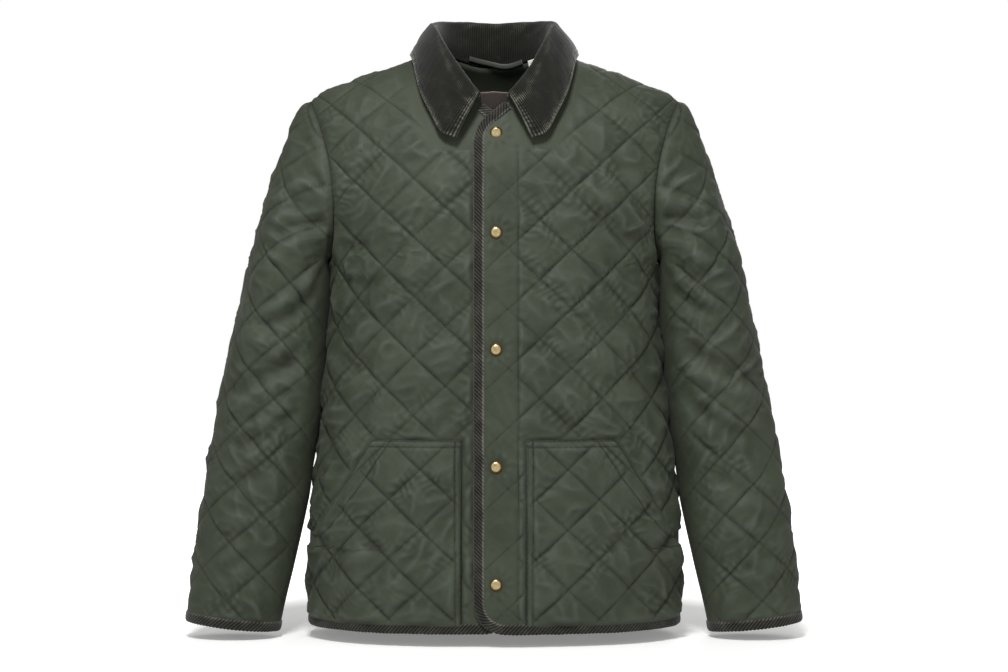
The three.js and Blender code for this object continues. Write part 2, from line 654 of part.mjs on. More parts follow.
function collar() {
  const end = (COLLAR[0].psi * Math.PI) / 180;
  const sections = 2 * COLLAR_SECTIONS;
  const rows = 7;
  const positions = [];
  const faces = [];
  const place = (i, j, offset) => {
    const side = i < COLLAR_SECTIONS ? -1 : 1;
    const psi = side * mix(end, Math.PI, 1 - Math.abs(i - COLLAR_SECTIONS) / COLLAR_SECTIONS) || Math.PI;
    const e = 0.01;
    const along = collarPoint(psi + e, j).sub(collarPoint(psi - e, j));
    if (Math.abs(Math.abs(psi) - Math.PI) < 2 * e) along.set(-1, 0, 0);
    const back = collarPoint(psi, Math.max(0, j - 1));
    const ahead = collarPoint(psi, Math.min(rows, j + 1));
    const normal = ahead.sub(back).cross(along).normalize();
    const p = collarPoint(psi, j).addScaledVector(normal, offset);
    positions.push(p.x, p.y, p.z);
  };
  for (let i = 0; i <= sections; i++) {
    for (let j = 0; j <= rows; j++) place(i, j, COLLAR_HALF);
    for (let j = rows; j >= 0; j--) place(i, j, -COLLAR_HALF);
  }
  const m = 2 * (rows + 1);
  for (let i = 0; i < sections; i++) {
    for (let k = 0; k < m; k++) {
      const [a, b] = [i * m + k, i * m + ((k + 1) % m)];
      faces.push(a, a + m, b, b, a + m, b + m);
    }
  }
  for (let j = 0; j < rows; j++) {
    const [a, b, c, d] = [j, j + 1, m - 2 - j, m - 1 - j];
    const end2 = sections * m;
    faces.push(a, b, d, b, c, d, end2 + a, end2 + d, end2 + b, end2 + b, end2 + d, end2 + c);
  }
  return solidFrom(positions, faces);
}

// The narrow tape that finishes the neckline between the collar's two ends.
function neckTape() {
  const line = [];
  const normals = [];
  const reach = ((COLLAR[0].psi - 0.4) * Math.PI) / 180;
  for (let k = 0; k <= 8; k++) {
    const psi = mix(-reach, reach, k / 8);
    const p = neckline(Math.abs(psi), COLLAR_HALF + 2 * SEAM);
    p.x = Math.abs(p.x) * Math.sign(psi);
    p.z += TAPE.arch * Math.cos(((psi / reach) * Math.PI) / 2);
    line.push(p);
    normals.push(new THREE.Vector3(Math.sin(psi), -Math.cos(psi), 0));
  }
  return sweep(line, normals, TAPE.width, TAPE.thick, false);
}

// A place against the inside of the collar's stand, a little above the neck seam, off it by a distance.
function insideCollar(psi, across, off) {
  const p = collarPoint(psi, across);
  const inward = new THREE.Vector3(-Math.sin(psi), Math.cos(psi), 0);
  return { p: p.addScaledVector(inward, off), inward };
}

// The hanger loop sags across the inside of the neck, with both ends at the seam.
function hangerLoop() {
  const route = [[204, 0.3, 0], [199, 0.3, -0.3], [188, 0.3, -2], [178, 0.3, -5.5], [168, 0.3, -7], [160, 0.3, -6.2], [153, 0.3, -5]];
  const places = route.map(([degrees, across, drop]) => {
    const psi = (degrees * Math.PI) / 180;
    const { p } = insideCollar(degrees > 180 ? psi - 2 * Math.PI : psi, across, COLLAR_HALF + 2.2);
    p.z += drop;
    return p;
  });
  const line = new THREE.CatmullRomCurve3(places).getPoints(12);
  return sweep(line, line.map((p) => new THREE.Vector3(-p.x, NECK.y - p.y, 0).normalize()), 6.5, 2.2, false);
}

// A plain size label, sewn in at the neck seam beside the loop.
function sizeLabel() {
  const psi = (143 * Math.PI) / 180;
  const { p, inward } = insideCollar(psi, 0.3, COLLAR_HALF + 2.4);
  const geometry = new THREE.BoxGeometry(13, 0.7, 14);
  geometry.rotateZ(Math.atan2(inward.y, inward.x) + Math.PI / 2);
  geometry.translate(p.x, p.y, p.z - 1);
  return solidOf(geometry);
}

// A snap's pressed brass cap with a rolled rim, standing on the cloth.
function snapCap(z) {
  const profile = [new THREE.Vector2(0, 0)];
  profile.push(new THREE.Vector2(SNAP.radius - 0.5, 0), new THREE.Vector2(SNAP.radius, SNAP.rim / 2));
  profile.push(new THREE.Vector2(SNAP.radius - 0.4, SNAP.rim));
  for (let k = 1; k <= 4; k++) {
    const a = (k / 4) * (Math.PI / 2);
    const radius = k === 4 ? 0 : (SNAP.radius - 0.6) * Math.cos(a);
    profile.push(new THREE.Vector2(radius, SNAP.rim + (SNAP.height - SNAP.rim) * Math.sin(a)));
  }
  const geometry = new THREE.LatheGeometry(profile, 12);
  const { p, normal } = frontMiddle(SNAP.x, z, 1);
  const turn = new THREE.Quaternion().setFromUnitVectors(new THREE.Vector3(0, 1, 0), normal);
  geometry.applyQuaternion(turn);
  p.addScaledVector(normal, WALL / 2 + SNAP.stand);
  geometry.translate(p.x, p.y, p.z);
  return solidOf(geometry);
}

function meshOf(name, solid, colour, roughness, metalness = 0) {
  const made = solid.getMesh();
  const geometry = new THREE.BufferGeometry();
  geometry.setAttribute("position", new THREE.BufferAttribute(made.vertProperties, 3));
  geometry.setIndex(new THREE.BufferAttribute(made.triVerts, 1));
  geometry.computeVertexNormals();
  const mesh = new THREE.Mesh(geometry, new THREE.MeshStandardMaterial({ color: colour, roughness, metalness }));
  mesh.name = name;
  return mesh;
}

const BACK = { side: 1, lap: 0, phase: 0 };
const FRONT_LEFT = { side: -1, lap: 1, phase: 3 };
const FRONT_RIGHT = { side: -1, lap: -1, phase: 0 };
const jacket = new THREE.Group();
const add = (...piece) => jacket.add(meshOf(...piece));
add("back", torsoPanel(BACK), COLOURS.cloth, 0.62);
add("front_left", torsoPanel(FRONT_LEFT), COLOURS.cloth, 0.62);
add("front_right", torsoPanel(FRONT_RIGHT), COLOURS.cloth, 0.62);
add("sleeve_left", sleeve(1, 0), COLOURS.cloth, 0.62);
add("sleeve_right", sleeve(-1, 0), COLOURS.cloth, 0.62);
add("pocket_left", pocket(FRONT_LEFT, 2), COLOURS.cloth, 0.62);
add("pocket_right", pocket(FRONT_RIGHT, 2), COLOURS.cloth, 0.62);
add("collar", collar(), COLOURS.cord, 0.95);
add("edge_binding", edgeBinding(), COLOURS.cord, 0.95);
add("cuff_binding_left", cuffBinding(1), COLOURS.cord, 0.95);
add("cuff_binding_right", cuffBinding(-1), COLOURS.cord, 0.95);
add("neck_tape", neckTape(), COLOURS.tape, 0.9);
add("hanger_loop", hangerLoop(), COLOURS.cloth, 0.7);
add("size_label", sizeLabel(), COLOURS.label, 0.8);
SNAP_Z.forEach((z, k) => add(`snap_${k + 1}`, snapCap(z), COLOURS.brass, 0.35, 1));

export default jacket;
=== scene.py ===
"""Quilted jacket, filled out as worn: diamond-quilted nylon panels, corduroy collar and binding, brass snaps.

The row frame is in metres: +Z up, -Y the jacket's front, +X the wearer's left. Shapes here are worked out in
millimetres and turned to metres where a mesh is made.
"""

import math

import bmesh
import bpy
import numpy as np
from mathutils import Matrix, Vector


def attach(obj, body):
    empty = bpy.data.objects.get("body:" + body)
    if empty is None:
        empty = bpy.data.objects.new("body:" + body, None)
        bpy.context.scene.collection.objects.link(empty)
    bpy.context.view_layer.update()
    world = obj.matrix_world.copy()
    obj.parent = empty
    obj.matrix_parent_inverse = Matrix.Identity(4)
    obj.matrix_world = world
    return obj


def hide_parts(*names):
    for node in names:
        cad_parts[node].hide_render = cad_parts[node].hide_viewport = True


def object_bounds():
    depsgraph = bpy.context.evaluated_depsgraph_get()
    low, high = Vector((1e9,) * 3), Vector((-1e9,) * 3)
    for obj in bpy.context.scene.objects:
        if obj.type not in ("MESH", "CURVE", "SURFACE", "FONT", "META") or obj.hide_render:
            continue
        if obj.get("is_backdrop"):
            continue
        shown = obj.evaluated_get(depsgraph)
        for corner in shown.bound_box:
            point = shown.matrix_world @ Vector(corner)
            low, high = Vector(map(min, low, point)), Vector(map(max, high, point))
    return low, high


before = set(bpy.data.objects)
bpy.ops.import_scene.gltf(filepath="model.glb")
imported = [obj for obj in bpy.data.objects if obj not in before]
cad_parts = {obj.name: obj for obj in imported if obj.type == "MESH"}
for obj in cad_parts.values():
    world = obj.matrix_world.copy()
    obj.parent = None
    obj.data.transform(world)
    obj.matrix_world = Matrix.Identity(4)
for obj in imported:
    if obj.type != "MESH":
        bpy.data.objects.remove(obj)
cad_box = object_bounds()


# Body panels: two fronts and a back of thin nylon, stitched in diamonds through light wadding to a plain
# lining. They are filled out as on a wearer, are sewn at the sides, shoulders and armholes, and the
# wearer's left front laps over the right one.
MM = 0.001
HEM = -690.0
CHEST = -193.375  # the straight wall ends here and the shoulders' arch starts
MIDDLE_Y = 5.0
ROUNDNESS = 2.4  # 2 would be an ellipse, more is boxier
WALL = 2.4  # quilted cloth along a stitched line
SEAM = 0.3
TORSO = np.array([  # height, half width, depth in front, depth behind
    (-690, 231, 128, 104), (-600, 230, 127, 103), (-548, 228.5, 126, 102), (-439, 216, 124, 98),
    (-350, 208.5, 123, 99), (-278, 203.5, 122, 102), (-246, 204, 121, 104), (-200, 216, 120, 107),
    (-164, 227, 118, 107), (-100, 236, 114, 105), (-40, 242, 110, 102), (40, 246, 108, 100),
])
RIDGE = np.array([  # distance from the centre, height of the shoulder seam
    (0, 42), (50, 34), (85, 20), (119, 7), (169, -11), (194, -20.5), (219, -31), (231, -38), (246, -52),
])
LAP = 24.0  # how far each front edge passes the centre
LAP_FADE = 52.0
LIFT = {1: 2.6, -1: -2.8, 0: 0.0}  # the upper front stands off the common surface and the lower one is let in
CORNER = 38.0  # radius of the fronts' lower corners
THROAT = {"x": 18.0, "z": -101.0, "radius": 42.0, "neck_x": 12.0, "neck_z": -51.0}
NECK = {"half_x": 85.0, "half_y": 69.0, "y": -13.0}
ARMHOLE = {"top_x": 232.0, "top_z": -39.0, "under_x": 203.5, "under_z": -246.0, "bow": {-1: 18.0, 1: 15.0}}
BINDING = 12.0
DIAMOND_WIDE, DIAMOND_HIGH = 77.0, 71.5
PUFF = 4.1  # height of a diamond's middle over its stitching
POCKET = {"inner_x": 38.0, "top_x": 147.0, "top_z": -458.0, "slant_x": 219.0, "slant_z": -574.0}
PLACKET_X = 29.0  # the upper front's facing is stitched down here
SNAP_X = 2.5
SNAP_Z = (-90.0, -210.0, -350.0, -490.0, -630.0)
STRAIGHT = CHEST - HEM


def ease(t):
    """Cubic ease from 0 to 1, flat outside."""
    t = np.clip(t, 0.0, 1.0)
    return t * t * (3 - 2 * t)


def bell(x, width):
    """Bell curve: 1 at 0 and about a third at the width."""
    return np.exp(-((x / width) ** 2))


def lengths(points):
    """Length along a path at each of its points."""
    return np.concatenate([[0], np.cumsum(np.linalg.norm(np.diff(points, axis=0), axis=-1))])


def through(rows, column, at):
    """Value of a column at places along the first one: a cubic between rows, whose slope at a row is that
    of the line between its two neighbours."""
    key, value = rows[:, 0], rows[:, column]
    slope = np.empty(len(key))
    slope[1:-1] = (value[2:] - value[:-2]) / (key[2:] - key[:-2])
    slope[0] = (value[1] - value[0]) / (key[1] - key[0])
    slope[-1] = (value[-1] - value[-2]) / (key[-1] - key[-2])
    at = np.clip(at, key[0], key[-1])
    i = np.clip(np.searchsorted(key, at, side="right") - 1, 0, len(key) - 2)
    span = key[i + 1] - key[i]
    t = (at - key[i]) / span
    return (
        (2 * t**3 - 3 * t**2 + 1) * value[i] + (t**3 - 2 * t**2 + t) * slope[i] * span
        + (3 * t**2 - 2 * t**3) * value[i + 1] + (t**3 - t**2) * slope[i + 1] * span
    )


ARCH_TURN = np.linspace(0, math.pi / 2, 800)
ARCH_LENGTH = np.concatenate([[0], np.cumsum(
    np.hypot(206.6 * np.cos(ARCH_TURN[1:]), 118 * np.sin(ARCH_TURN[1:])) * (ARCH_TURN[1] - ARCH_TURN[0])
)])
TOP = STRAIGHT + ARCH_LENGTH[-1]


def body(turn, rise, side):
    """Point of the filled-out body. The turn goes from the centre line, 0, to the side seam, a quarter
    turn, on a superellipse of the width and depth at that height. The rise is the length up the cloth from
    the hem: straight up to the chest, then over the shoulders' arch, whose height is the shoulder
    seam's."""
    share = np.sign(turn) * np.abs(np.sin(turn)) ** (2 / ROUNDNESS)
    round_off = np.abs(np.cos(turn)) ** (2 / ROUNDNESS)
    angle = np.interp(rise - STRAIGHT, ARCH_LENGTH, ARCH_TURN)
    straight = HEM + np.minimum(rise, STRAIGHT)
    z = straight + 0 * share
    for _ in range(6):
        x = through(TORSO, 1, z) * share
        z = straight + (through(RIDGE, 1, np.abs(x)) - CHEST) * np.sin(angle)
    depth = through(TORSO, 2 if side < 0 else 3, z)
    x = through(TORSO, 1, z) * share
    return np.stack([x, MIDDLE_Y + side * depth * round_off * np.cos(angle), z], -1)


def unit(v):
    """Vectors scaled to length 1."""
    return v / np.maximum(np.linalg.norm(v, axis=-1, keepdims=True), 1e-9)


def lift_at(x, lap):
    """How far a front stands off the common surface near the lap. x is measured away from the free edge."""
    return LIFT[lap] * (1 - ease((x - LAP) / LAP_FADE))


def free_edge_x(z, inset):
    """Where a front's free edge runs at each height, moved in: the lower corner's arc, the straight edge,
    the throat's arc and then a slant up to the neckline."""
    turn = np.linspace(0, math.pi / 2, 40)
    low = CORNER - inset
    high = THROAT["radius"] - inset
    throat = np.linspace(math.pi / 2, math.pi / 4, 24)
    slant = math.sqrt(0.5)
    neck_x = THROAT["neck_x"] + inset * slant
    neck_z = THROAT["neck_z"] - inset * slant
    xs = np.concatenate([
        (CORNER - LAP - low * np.cos(turn))[::-1], THROAT["x"] - high * np.sin(throat), [neck_x, neck_x + 60],
    ])
    zs = np.concatenate([
        (HEM + CORNER - low * np.sin(turn))[::-1], THROAT["z"] + high * np.cos(throat), [neck_z, neck_z + 60],
    ])
    return np.interp(z, zs, xs)


def free_edge_inset(x, z):
    """How far inside the jacket's free edge and hem a place of a front lies, seen from the front."""
    plain = np.minimum(x + LAP, z - HEM)
    corner = CORNER - np.hypot(x + LAP - CORNER, z - HEM - CORNER)
    throat = THROAT["radius"] - np.hypot(x - THROAT["x"], z - THROAT["z"])
    inset = np.where((x < CORNER - LAP) & (z < HEM + CORNER), corner, plain)
    return np.where((x < THROAT["x"]) & (z > THROAT["z"]), throat, inset)


def armhole_x(z, side):
    """Where the armhole's seam runs at each height, seen from the front: half a turn of a leaning ellipse,
    bowed towards the chest."""
    middle = (ARMHOLE["top_z"] + ARMHOLE["under_z"]) / 2
    c = np.clip((z - middle) / ((ARMHOLE["top_z"] - ARMHOLE["under_z"]) / 2), -1, 1)
    lean = (ARMHOLE["top_x"] - ARMHOLE["under_x"]) / 2
    return (ARMHOLE["top_x"] + ARMHOLE["under_x"]) / 2 + lean * c - ARMHOLE["bow"][side] * (1 - c * c)


def outside_neck(p):
    """Negative inside the neckline's plan, which is an ellipse, and large far below it."""
    plan = (p[..., 0] / NECK["half_x"]) ** 2 + ((p[..., 1] - NECK["y"]) / NECK["half_y"]) ** 2 - 1
    return np.where(p[..., 2] > -110, plan, 1.0)


def crossing(value, last):
    """Fractional column where each row of values crosses zero: its last negative stretch, or its first
    one."""
    negative = value < 0
    count = value.shape[1]
    rows = np.arange(len(value))
    if last:
        i = np.where(negative.any(1), count - 1 - np.argmax(negative[:, ::-1], 1), 0)
    else:
        i = np.where(negative.any(1), np.argmax(negative, 1) - 1, count - 1)
    i = np.clip(i, 0, count - 2)
    a, b = value[rows, i], value[rows, i + 1]
    share = np.where(np.sign(a) != np.sign(b), a / np.where(a == b, 1, a - b), 0.0 if last else 1.0)
    return i + np.clip(share, 0, 1)


def measured_body(side, rise, start):
    """The body's points, outward normals and lengths over the cloth, on a dense grid of rises and turns."""
    turn = np.linspace(start, math.pi / 2, 520)
    p = body(turn[None, :], rise[:, None], side)
    across = np.linalg.norm(np.diff(p, axis=1), axis=-1)
    u = np.concatenate([np.zeros((len(rise), 1)), np.cumsum(across, 1)], 1)
    centre = np.interp(0.0, turn, np.arange(len(turn)))
    u -= u[:, int(round(centre))][:, None]
    v = np.concatenate([np.zeros((1, len(turn))), np.cumsum(np.linalg.norm(np.diff(p, axis=0), axis=-1), 0)])
    normal = unit(np.cross(np.gradient(p, axis=1), np.gradient(p, axis=0))) * -side
    return np.concatenate([p, normal, u[..., None], v[..., None] + rise[0]], -1)


def panel_rises(rows, low):
    """Heights of a panel's rows, close together at the armpit, where the armhole's seam runs almost level."""
    armpit = ARMHOLE["under_z"] - HEM
    close = 34 / rows
    below = (1 - close) * (armpit - 4 - low) / (TOP - low)
    at = np.linspace(0, 1, rows)
    return np.interp(at, [0, below, below + close, 1], [low, armpit - 4, armpit + 14, TOP])


def squeeze(plain, end, full):
    """Lengths along a row, made shorter near the armhole alone so that they end at it and not at the side
    seam."""
    room = 25.0
    return np.where(plain < end - room, plain, end - room + (plain - end + room) * room / (full - end + room))


def resampled(dense, at):
    """A dense grid's layers at fractional columns, row by row."""
    place = np.arange(dense.shape[1])
    rows = [[np.interp(at[r], place, layer) for layer in dense[r].T] for r in range(len(at))]
    return np.array(rows).transpose(0, 2, 1)


def front_cloth(rows, columns, low):
    """A front's cloth as a grid from its free edge and neckline to its side seam and armhole. Each grid
    point holds place, normal and the lengths over the cloth from the centre line and the hem."""
    rise = panel_rises(rows, low)
    dense = measured_body(-1, rise, -0.25)
    x, z = dense[..., 0], dense[..., 2]
    inner = crossing(np.minimum(x - free_edge_x(z, low), outside_neck(dense)), True)
    outer = crossing(np.where(z > ARMHOLE["under_z"], armhole_x(z, -1) - x, 1.0), False)
    place = np.arange(dense.shape[1])
    at = np.empty((rows, columns))
    for r in range(rows):
        start, end = np.interp([inner[r], outer[r]], place, dense[r, :, 6])
        full = dense[r, -1, 6]
        at[r] = np.interp(squeeze(np.linspace(start, full, columns), end, full), dense[r, :, 6], place)
    return resampled(dense, at)


def back_cloth(rows, columns, low):
    """The back's cloth as a grid across both halves. Its top row follows the neckline and then the shoulder
    seams, and its end columns follow the armholes and side seams."""
    rise = panel_rises(400, low)
    dense = measured_body(1, rise, 0.0)
    x, z = dense[..., 0], dense[..., 2]
    outer = crossing(np.where(z > ARMHOLE["under_z"], armhole_x(z, 1) - x, 1.0), False)
    top = crossing(outside_neck(dense).T, False)
    share = np.linspace(0, 1, columns // 2 + 1)[None, :]
    up = np.linspace(0, 1, rows)[:, None]
    place = np.arange(dense.shape[1])
    girth = dense[0, :, 6]
    outer_girth = np.interp(outer, place, girth)
    i = up * (len(rise) - 1) + 0 * share
    for _ in range(14):
        end = np.interp(i, np.arange(len(rise)), outer_girth)
        j = np.interp(squeeze(share * girth[-1], end, girth[-1]), girth, place)
        i = 0.5 * i + 0.5 * up * np.interp(j, place, top)
    i0 = np.clip(np.floor(i).astype(int), 0, len(rise) - 2)
    j0 = np.clip(np.floor(j).astype(int), 0, dense.shape[1] - 2)
    s, t = (i - i0)[..., None], (j - j0)[..., None]
    half = (
        (1 - s) * ((1 - t) * dense[i0, j0] + t * dense[i0, j0 + 1])
        + s * ((1 - t) * dense[i0 + 1, j0] + t * dense[i0 + 1, j0 + 1])
    )
    mirrored = half[:, :0:-1] * np.array([-1, 1, 1, -1, 1, 1, -1, 1])
    return np.concatenate([mirrored, half], 1)


def rumple(u, v, size, seed):
    """Smooth random height from -1 to 1: random values on a square lattice, eased between its points."""
    values = np.random.default_rng(seed).uniform(-1, 1, (64, 64))
    a, b = u / size, v / size
    i, j = np.floor(a).astype(int), np.floor(b).astype(int)
    s, t = ease(a - i), ease(b - j)
    corner = lambda m, n: values[(i + m) % 64, (j + n) % 64]
    low = (1 - s) * corner(0, 0) + s * corner(1, 0)
    high = (1 - s) * corner(0, 1) + s * corner(1, 1)
    return (1 - t) * low + t * high


def creases(u, v, size, seed):
    """Small folds with narrow crests: the random height with its zero line turned into a ridge."""
    return 0.6 - 1.8 * np.abs(rumple(u, v, size, seed)) ** 0.82


def hollows(height):
    """How far each point of a grid of heights lies below its surroundings, in mm."""
    around = height
    for _ in range(8):
        along = np.roll(around, 1, 1) + np.roll(around, -1, 1)
        around = (around + along + np.roll(around, 1, 0) + np.roll(around, -1, 0)) / 5
    return around - height


def quilting(u, v, across, up, seed):
    """Height of the quilting, and the distance to its nearest stitched line. Two families of slanting lines
    cross at the diamonds' corners, one of which is at (across, up). The height rises away from both
    families, is fuller low down in a diamond, and small puckers run out of each line."""
    p = (u - across) / DIAMOND_WIDE + (v - up) / DIAMOND_HIGH
    q = (u - across) / DIAMOND_WIDE - (v - up) / DIAMOND_HIGH
    wobble = 0.012 * rumple(u, v, 35, seed + 1)
    p, q = p + wobble, q - wobble
    spacing = 1 / math.hypot(1 / DIAMOND_WIDE, 1 / DIAMOND_HIGH)
    near = [spacing * np.abs(k - np.round(k)) for k in (p, q)]
    dome = 1.0
    for d in near:
        dome = dome * (1 - (1 - np.minimum(2 * d / spacing, 1)) ** 2.3) ** 0.85
    part_p, part_q = p - np.floor(p), q - np.floor(q)
    lot = np.sin(np.floor(p) * 127.1 + np.floor(q) * 311.7 + seed) * 43758.5
    fullness = 0.8 + 0.4 * (lot - np.floor(lot))
    height = PUFF * dome * fullness * (1 - 0.4 * (part_p - part_q))
    for d, along in zip(near, (q, p)):
        run = along * spacing
        wave = np.sin(2 * math.pi * run / 10.0 + 5.5 * rumple(u, v, 19, seed + 2))
        strength = ease(0.45 + 0.9 * rumple(u, v, 29, seed + 3))
        reach = 9.0 + 5.0 * rumple(u, v, 23, seed + 8)
        height = height + 1.3 * strength * wave * np.exp(-d / reach) * (1 - np.exp(-d / 2.2))
        height = height - 1.0 * bell(d, 1.6)
    warp = 9 * rumple(u, v, 37, seed + 7)
    steep = creases(u + 0.5 * v + warp, 0.45 * v - warp, 21, seed + 4)
    flat = creases(0.5 * u - warp, v + 0.3 * u + warp, 17, seed + 6)
    height = height + dome * (2.4 * steep + 1.9 * flat + 1.4 * rumple(u, v, 33, seed + 5))
    return height, np.minimum(*near)


def soft_folds(u, v, folds):
    """Height of creases: each row is one fold from (u0, v0) to (u1, v1) over the cloth, with a bell-shaped
    section of a width and a height, negative for a trough, and it fades at both ends."""
    height = 0 * u
    for u0, v0, u1, v1, width, rise in folds:
        run, up = u1 - u0, v1 - v0
        length = math.hypot(run, up)
        t = ((u - u0) * run + (v - v0) * up) / length**2
        bow = 0.12 * length * np.sin(math.pi * np.clip(t, 0, 1)) * (1 if rise < 0 else -0.6)
        d = ((u - u0) * up - (v - v0) * run) / length + bow
        fade = bell(np.maximum(np.abs(t - 0.5) - 0.28, 0), 0.2)
        beside = 0.6 * bell(d - 1.7 * width, width)
        height = height + 1.4 * rise * (bell(d, width) - beside) * fade
    return height


def seam_roll(distance, along, seed):
    """Cloth drawn in at a seam: a rounded groove, and small puckers that run out of it."""
    distance = np.maximum(distance, 0)
    wave = np.sin(2 * math.pi * along / 9.0 + 2.5 * rumple(along, distance, 30, seed))
    strength = 0.4 + 0.6 * ease(0.5 + rumple(along, 0 * along, 45, seed + 1))
    groove = -1.25 * bell(distance, 2.6) - 0.6 * bell(distance, 7.0)
    return groove + 0.5 * strength * wave * np.exp(-distance / 8.0) * (1 - np.exp(-distance / 1.5))


def closed_mesh(name, points, faces, values, cloth=None, lining=None, rim=None):
    """Closed mesh from points in mm. values gives the points' numbers by attribute name and cloth their
    places on the cloth, for the UV map. Faces from lining on have the second material, and those from rim
    on are flat. The faces are turned outwards, as the signed volume says."""
    mesh = bpy.data.meshes.new(name)
    mesh.from_pydata((points * MM).tolist(), [], faces)
    order = np.arange(len(faces))
    if lining:
        mesh.polygons.foreach_set("material_index", (order >= lining).astype(np.int32))
    mesh.polygons.foreach_set("use_smooth", order < (rim or len(faces)))
    for key, value in values.items():
        mesh.attributes.new(key, "FLOAT", "POINT").data.foreach_set("value", value.astype(np.float32))
    if cloth is not None:
        vertex = np.empty(len(mesh.loops), np.int32)
        mesh.loops.foreach_get("vertex_index", vertex)
        mesh.uv_layers.new(name="Cloth").data.foreach_set("uv", cloth[vertex].astype(np.float32).ravel())
    work = bmesh.new()
    work.from_mesh(mesh)
    if work.calc_volume(signed=True) < 0:
        bmesh.ops.reverse_faces(work, faces=work.faces)
    work.to_mesh(mesh)
    work.free()
    mesh.validate()
    return mesh


def cloth_wall(name, grid, outside, inside, layers, forward=0.0, mirror=1, closed=False):
    """Closed wall on a grid of cloth: its points pushed out along their normals to a fine outside and to a
    coarse inside, which is the lining. Both edges of the wall are strips of faces that join a run of fine
    points to two coarse ones. layers gives the outside's attributes, and the inside's are out of reach."""
    place, normal = grid[..., :3], grid[..., 3:6]
    outer = place + normal * outside[..., None]
    inner = (place + normal * inside[..., None])[::STEP, ::STEP]
    for points in (outer, inner):
        points[..., 1] -= forward
        points[..., 0] *= mirror
    fine = np.arange(outer[..., 0].size).reshape(outer.shape[:2])
    coarse = fine.size + np.arange(inner[..., 0].size).reshape(inner.shape[:2])
    if closed:
        fine = np.concatenate([fine, fine[:, :1]], 1)
        coarse = np.concatenate([coarse, coarse[:, :1]], 1)
    quads = lambda g: np.stack([g[:-1, :-1], g[:-1, 1:], g[1:, 1:], g[1:, :-1]], -1).reshape(-1, 4)
    faces = quads(fine).tolist() + quads(coarse)[:, ::-1].tolist()
    sides = [(fine[0], coarse[0], -1), (fine[-1], coarse[-1], 1)]
    if not closed:
        sides += [(fine[:, 0], coarse[:, 0], 1), (fine[:, -1], coarse[:, -1], -1)]
    rim = len(faces)
    for a, b, turn in sides:
        runs = [a[k * STEP:(k + 1) * STEP + 1].tolist() for k in range(len(b) - 1)]
        faces += [(run + [b[k + 1], b[k]])[::turn] for k, run in enumerate(runs)]
    both = lambda value, behind: np.concatenate([value.ravel(), behind.ravel()])
    values = {key: both(value, np.full(inner.shape[:2], FAR)) for key, value in layers.items()}
    cloth = np.stack([both(grid[..., k], grid[::STEP, ::STEP, k]) for k in (6, 7)], -1)
    points = np.concatenate([outer.reshape(-1, 3), inner.reshape(-1, 3)])
    return closed_mesh(name, points, faces, values, cloth, quads(fine).shape[0], rim)


def piece(mesh, materials, node):
    """Puts a mesh in the scene in place of its CAD node, on the jacket's one body."""
    made = bpy.data.objects.new(mesh.name, mesh)
    bpy.context.scene.collection.objects.link(made)
    for material in materials:
        mesh.materials.append(material)
    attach(made, "root")
    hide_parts(node)
    return made


def linear(code):
    """Linear colour of an sRGB hex code."""
    parts = [int(code[k:k + 2], 16) / 255 for k in (1, 3, 5)]
    return (*[c / 12.92 if c <= 0.04045 else ((c + 0.055) / 1.055) ** 2.4 for c in parts], 1.0)


def add_node(tree, kind, inputs=None, **settings):
    """Adds a node, sets its properties, and gives its inputs values or links."""
    made = tree.nodes.new(kind)
    for key, value in settings.items():
        setattr(made, key, value)
    for socket, value in (inputs or {}).items():
        if isinstance(value, bpy.types.NodeSocket):
            tree.links.new(value, made.inputs[socket])
        else:
            made.inputs[socket].default_value = value
    return made


def noise(tree, place, scale, detail, roughness=0.5, distortion=0.0):
    """A noise texture's value. The scale is in turns a metre."""
    return add_node(tree, "ShaderNodeTexNoise", {
        "Vector": place, "Scale": scale, "Detail": detail, "Roughness": roughness, "Distortion": distortion,
    }).outputs["Fac"]


def ranged(tree, value, start, end, low, high):
    """A value taken from one range to another and held at its ends."""
    return add_node(tree, "ShaderNodeMapRange", {
        "Value": value, "From Min": start, "From Max": end, "To Min": low, "To Max": high}).outputs["Result"]


def mixed(tree, share, first, second):
    """A mix of two colours."""
    inputs = {"Factor": share, 6: first, 7: second}
    return add_node(tree, "ShaderNodeMix", inputs, data_type="RGBA").outputs[2]


def worked(tree, operation, a, b=0.0, **settings):
    """The result of a sum on one or two values."""
    return add_node(tree, "ShaderNodeMath", {0: a, 1: b}, operation=operation, **settings).outputs[0]


def attribute(tree, name):
    """A mesh attribute's value."""
    return add_node(tree, "ShaderNodeAttribute", attribute_name=name).outputs["Fac"]


def ramped(tree, value, *stops):
    """A colour ramp over a value, from (position, hex code) pairs."""
    ramp = add_node(tree, "ShaderNodeValToRGB", {"Fac": value})
    for end, (position, code) in zip(ramp.color_ramp.elements, (stops[0], stops[-1])):
        end.position, end.color = position, linear(code)
    for position, code in stops[1:-1]:
        ramp.color_ramp.elements.new(position).color = linear(code)
    return ramp.outputs["Color"]


def finished(tree, shader, colour, height=None, strength=0.0, distance=0.0, **constants):
    """Links a colour and a bump's height to a shader, and sets its constants."""
    tree.links.new(colour, shader.inputs["Base Color"])
    if height:
        inputs = {"Height": height, "Strength": strength, "Distance": distance}
        bump = add_node(tree, "ShaderNodeBump", inputs)
        tree.links.new(bump.outputs["Normal"], shader.inputs["Normal"])
    for key, value in constants.items():
        shader.inputs[key.replace("_", " ")].default_value = value


def new_material(name):
    """An empty material, its node tree, its Principled shader and the place on the part."""
    material = bpy.data.materials.new(name)
    material.use_nodes = True
    tree = material.node_tree
    place = add_node(tree, "ShaderNodeTexCoord").outputs["Object"]
    return material, tree, tree.nodes["Principled BSDF"], place


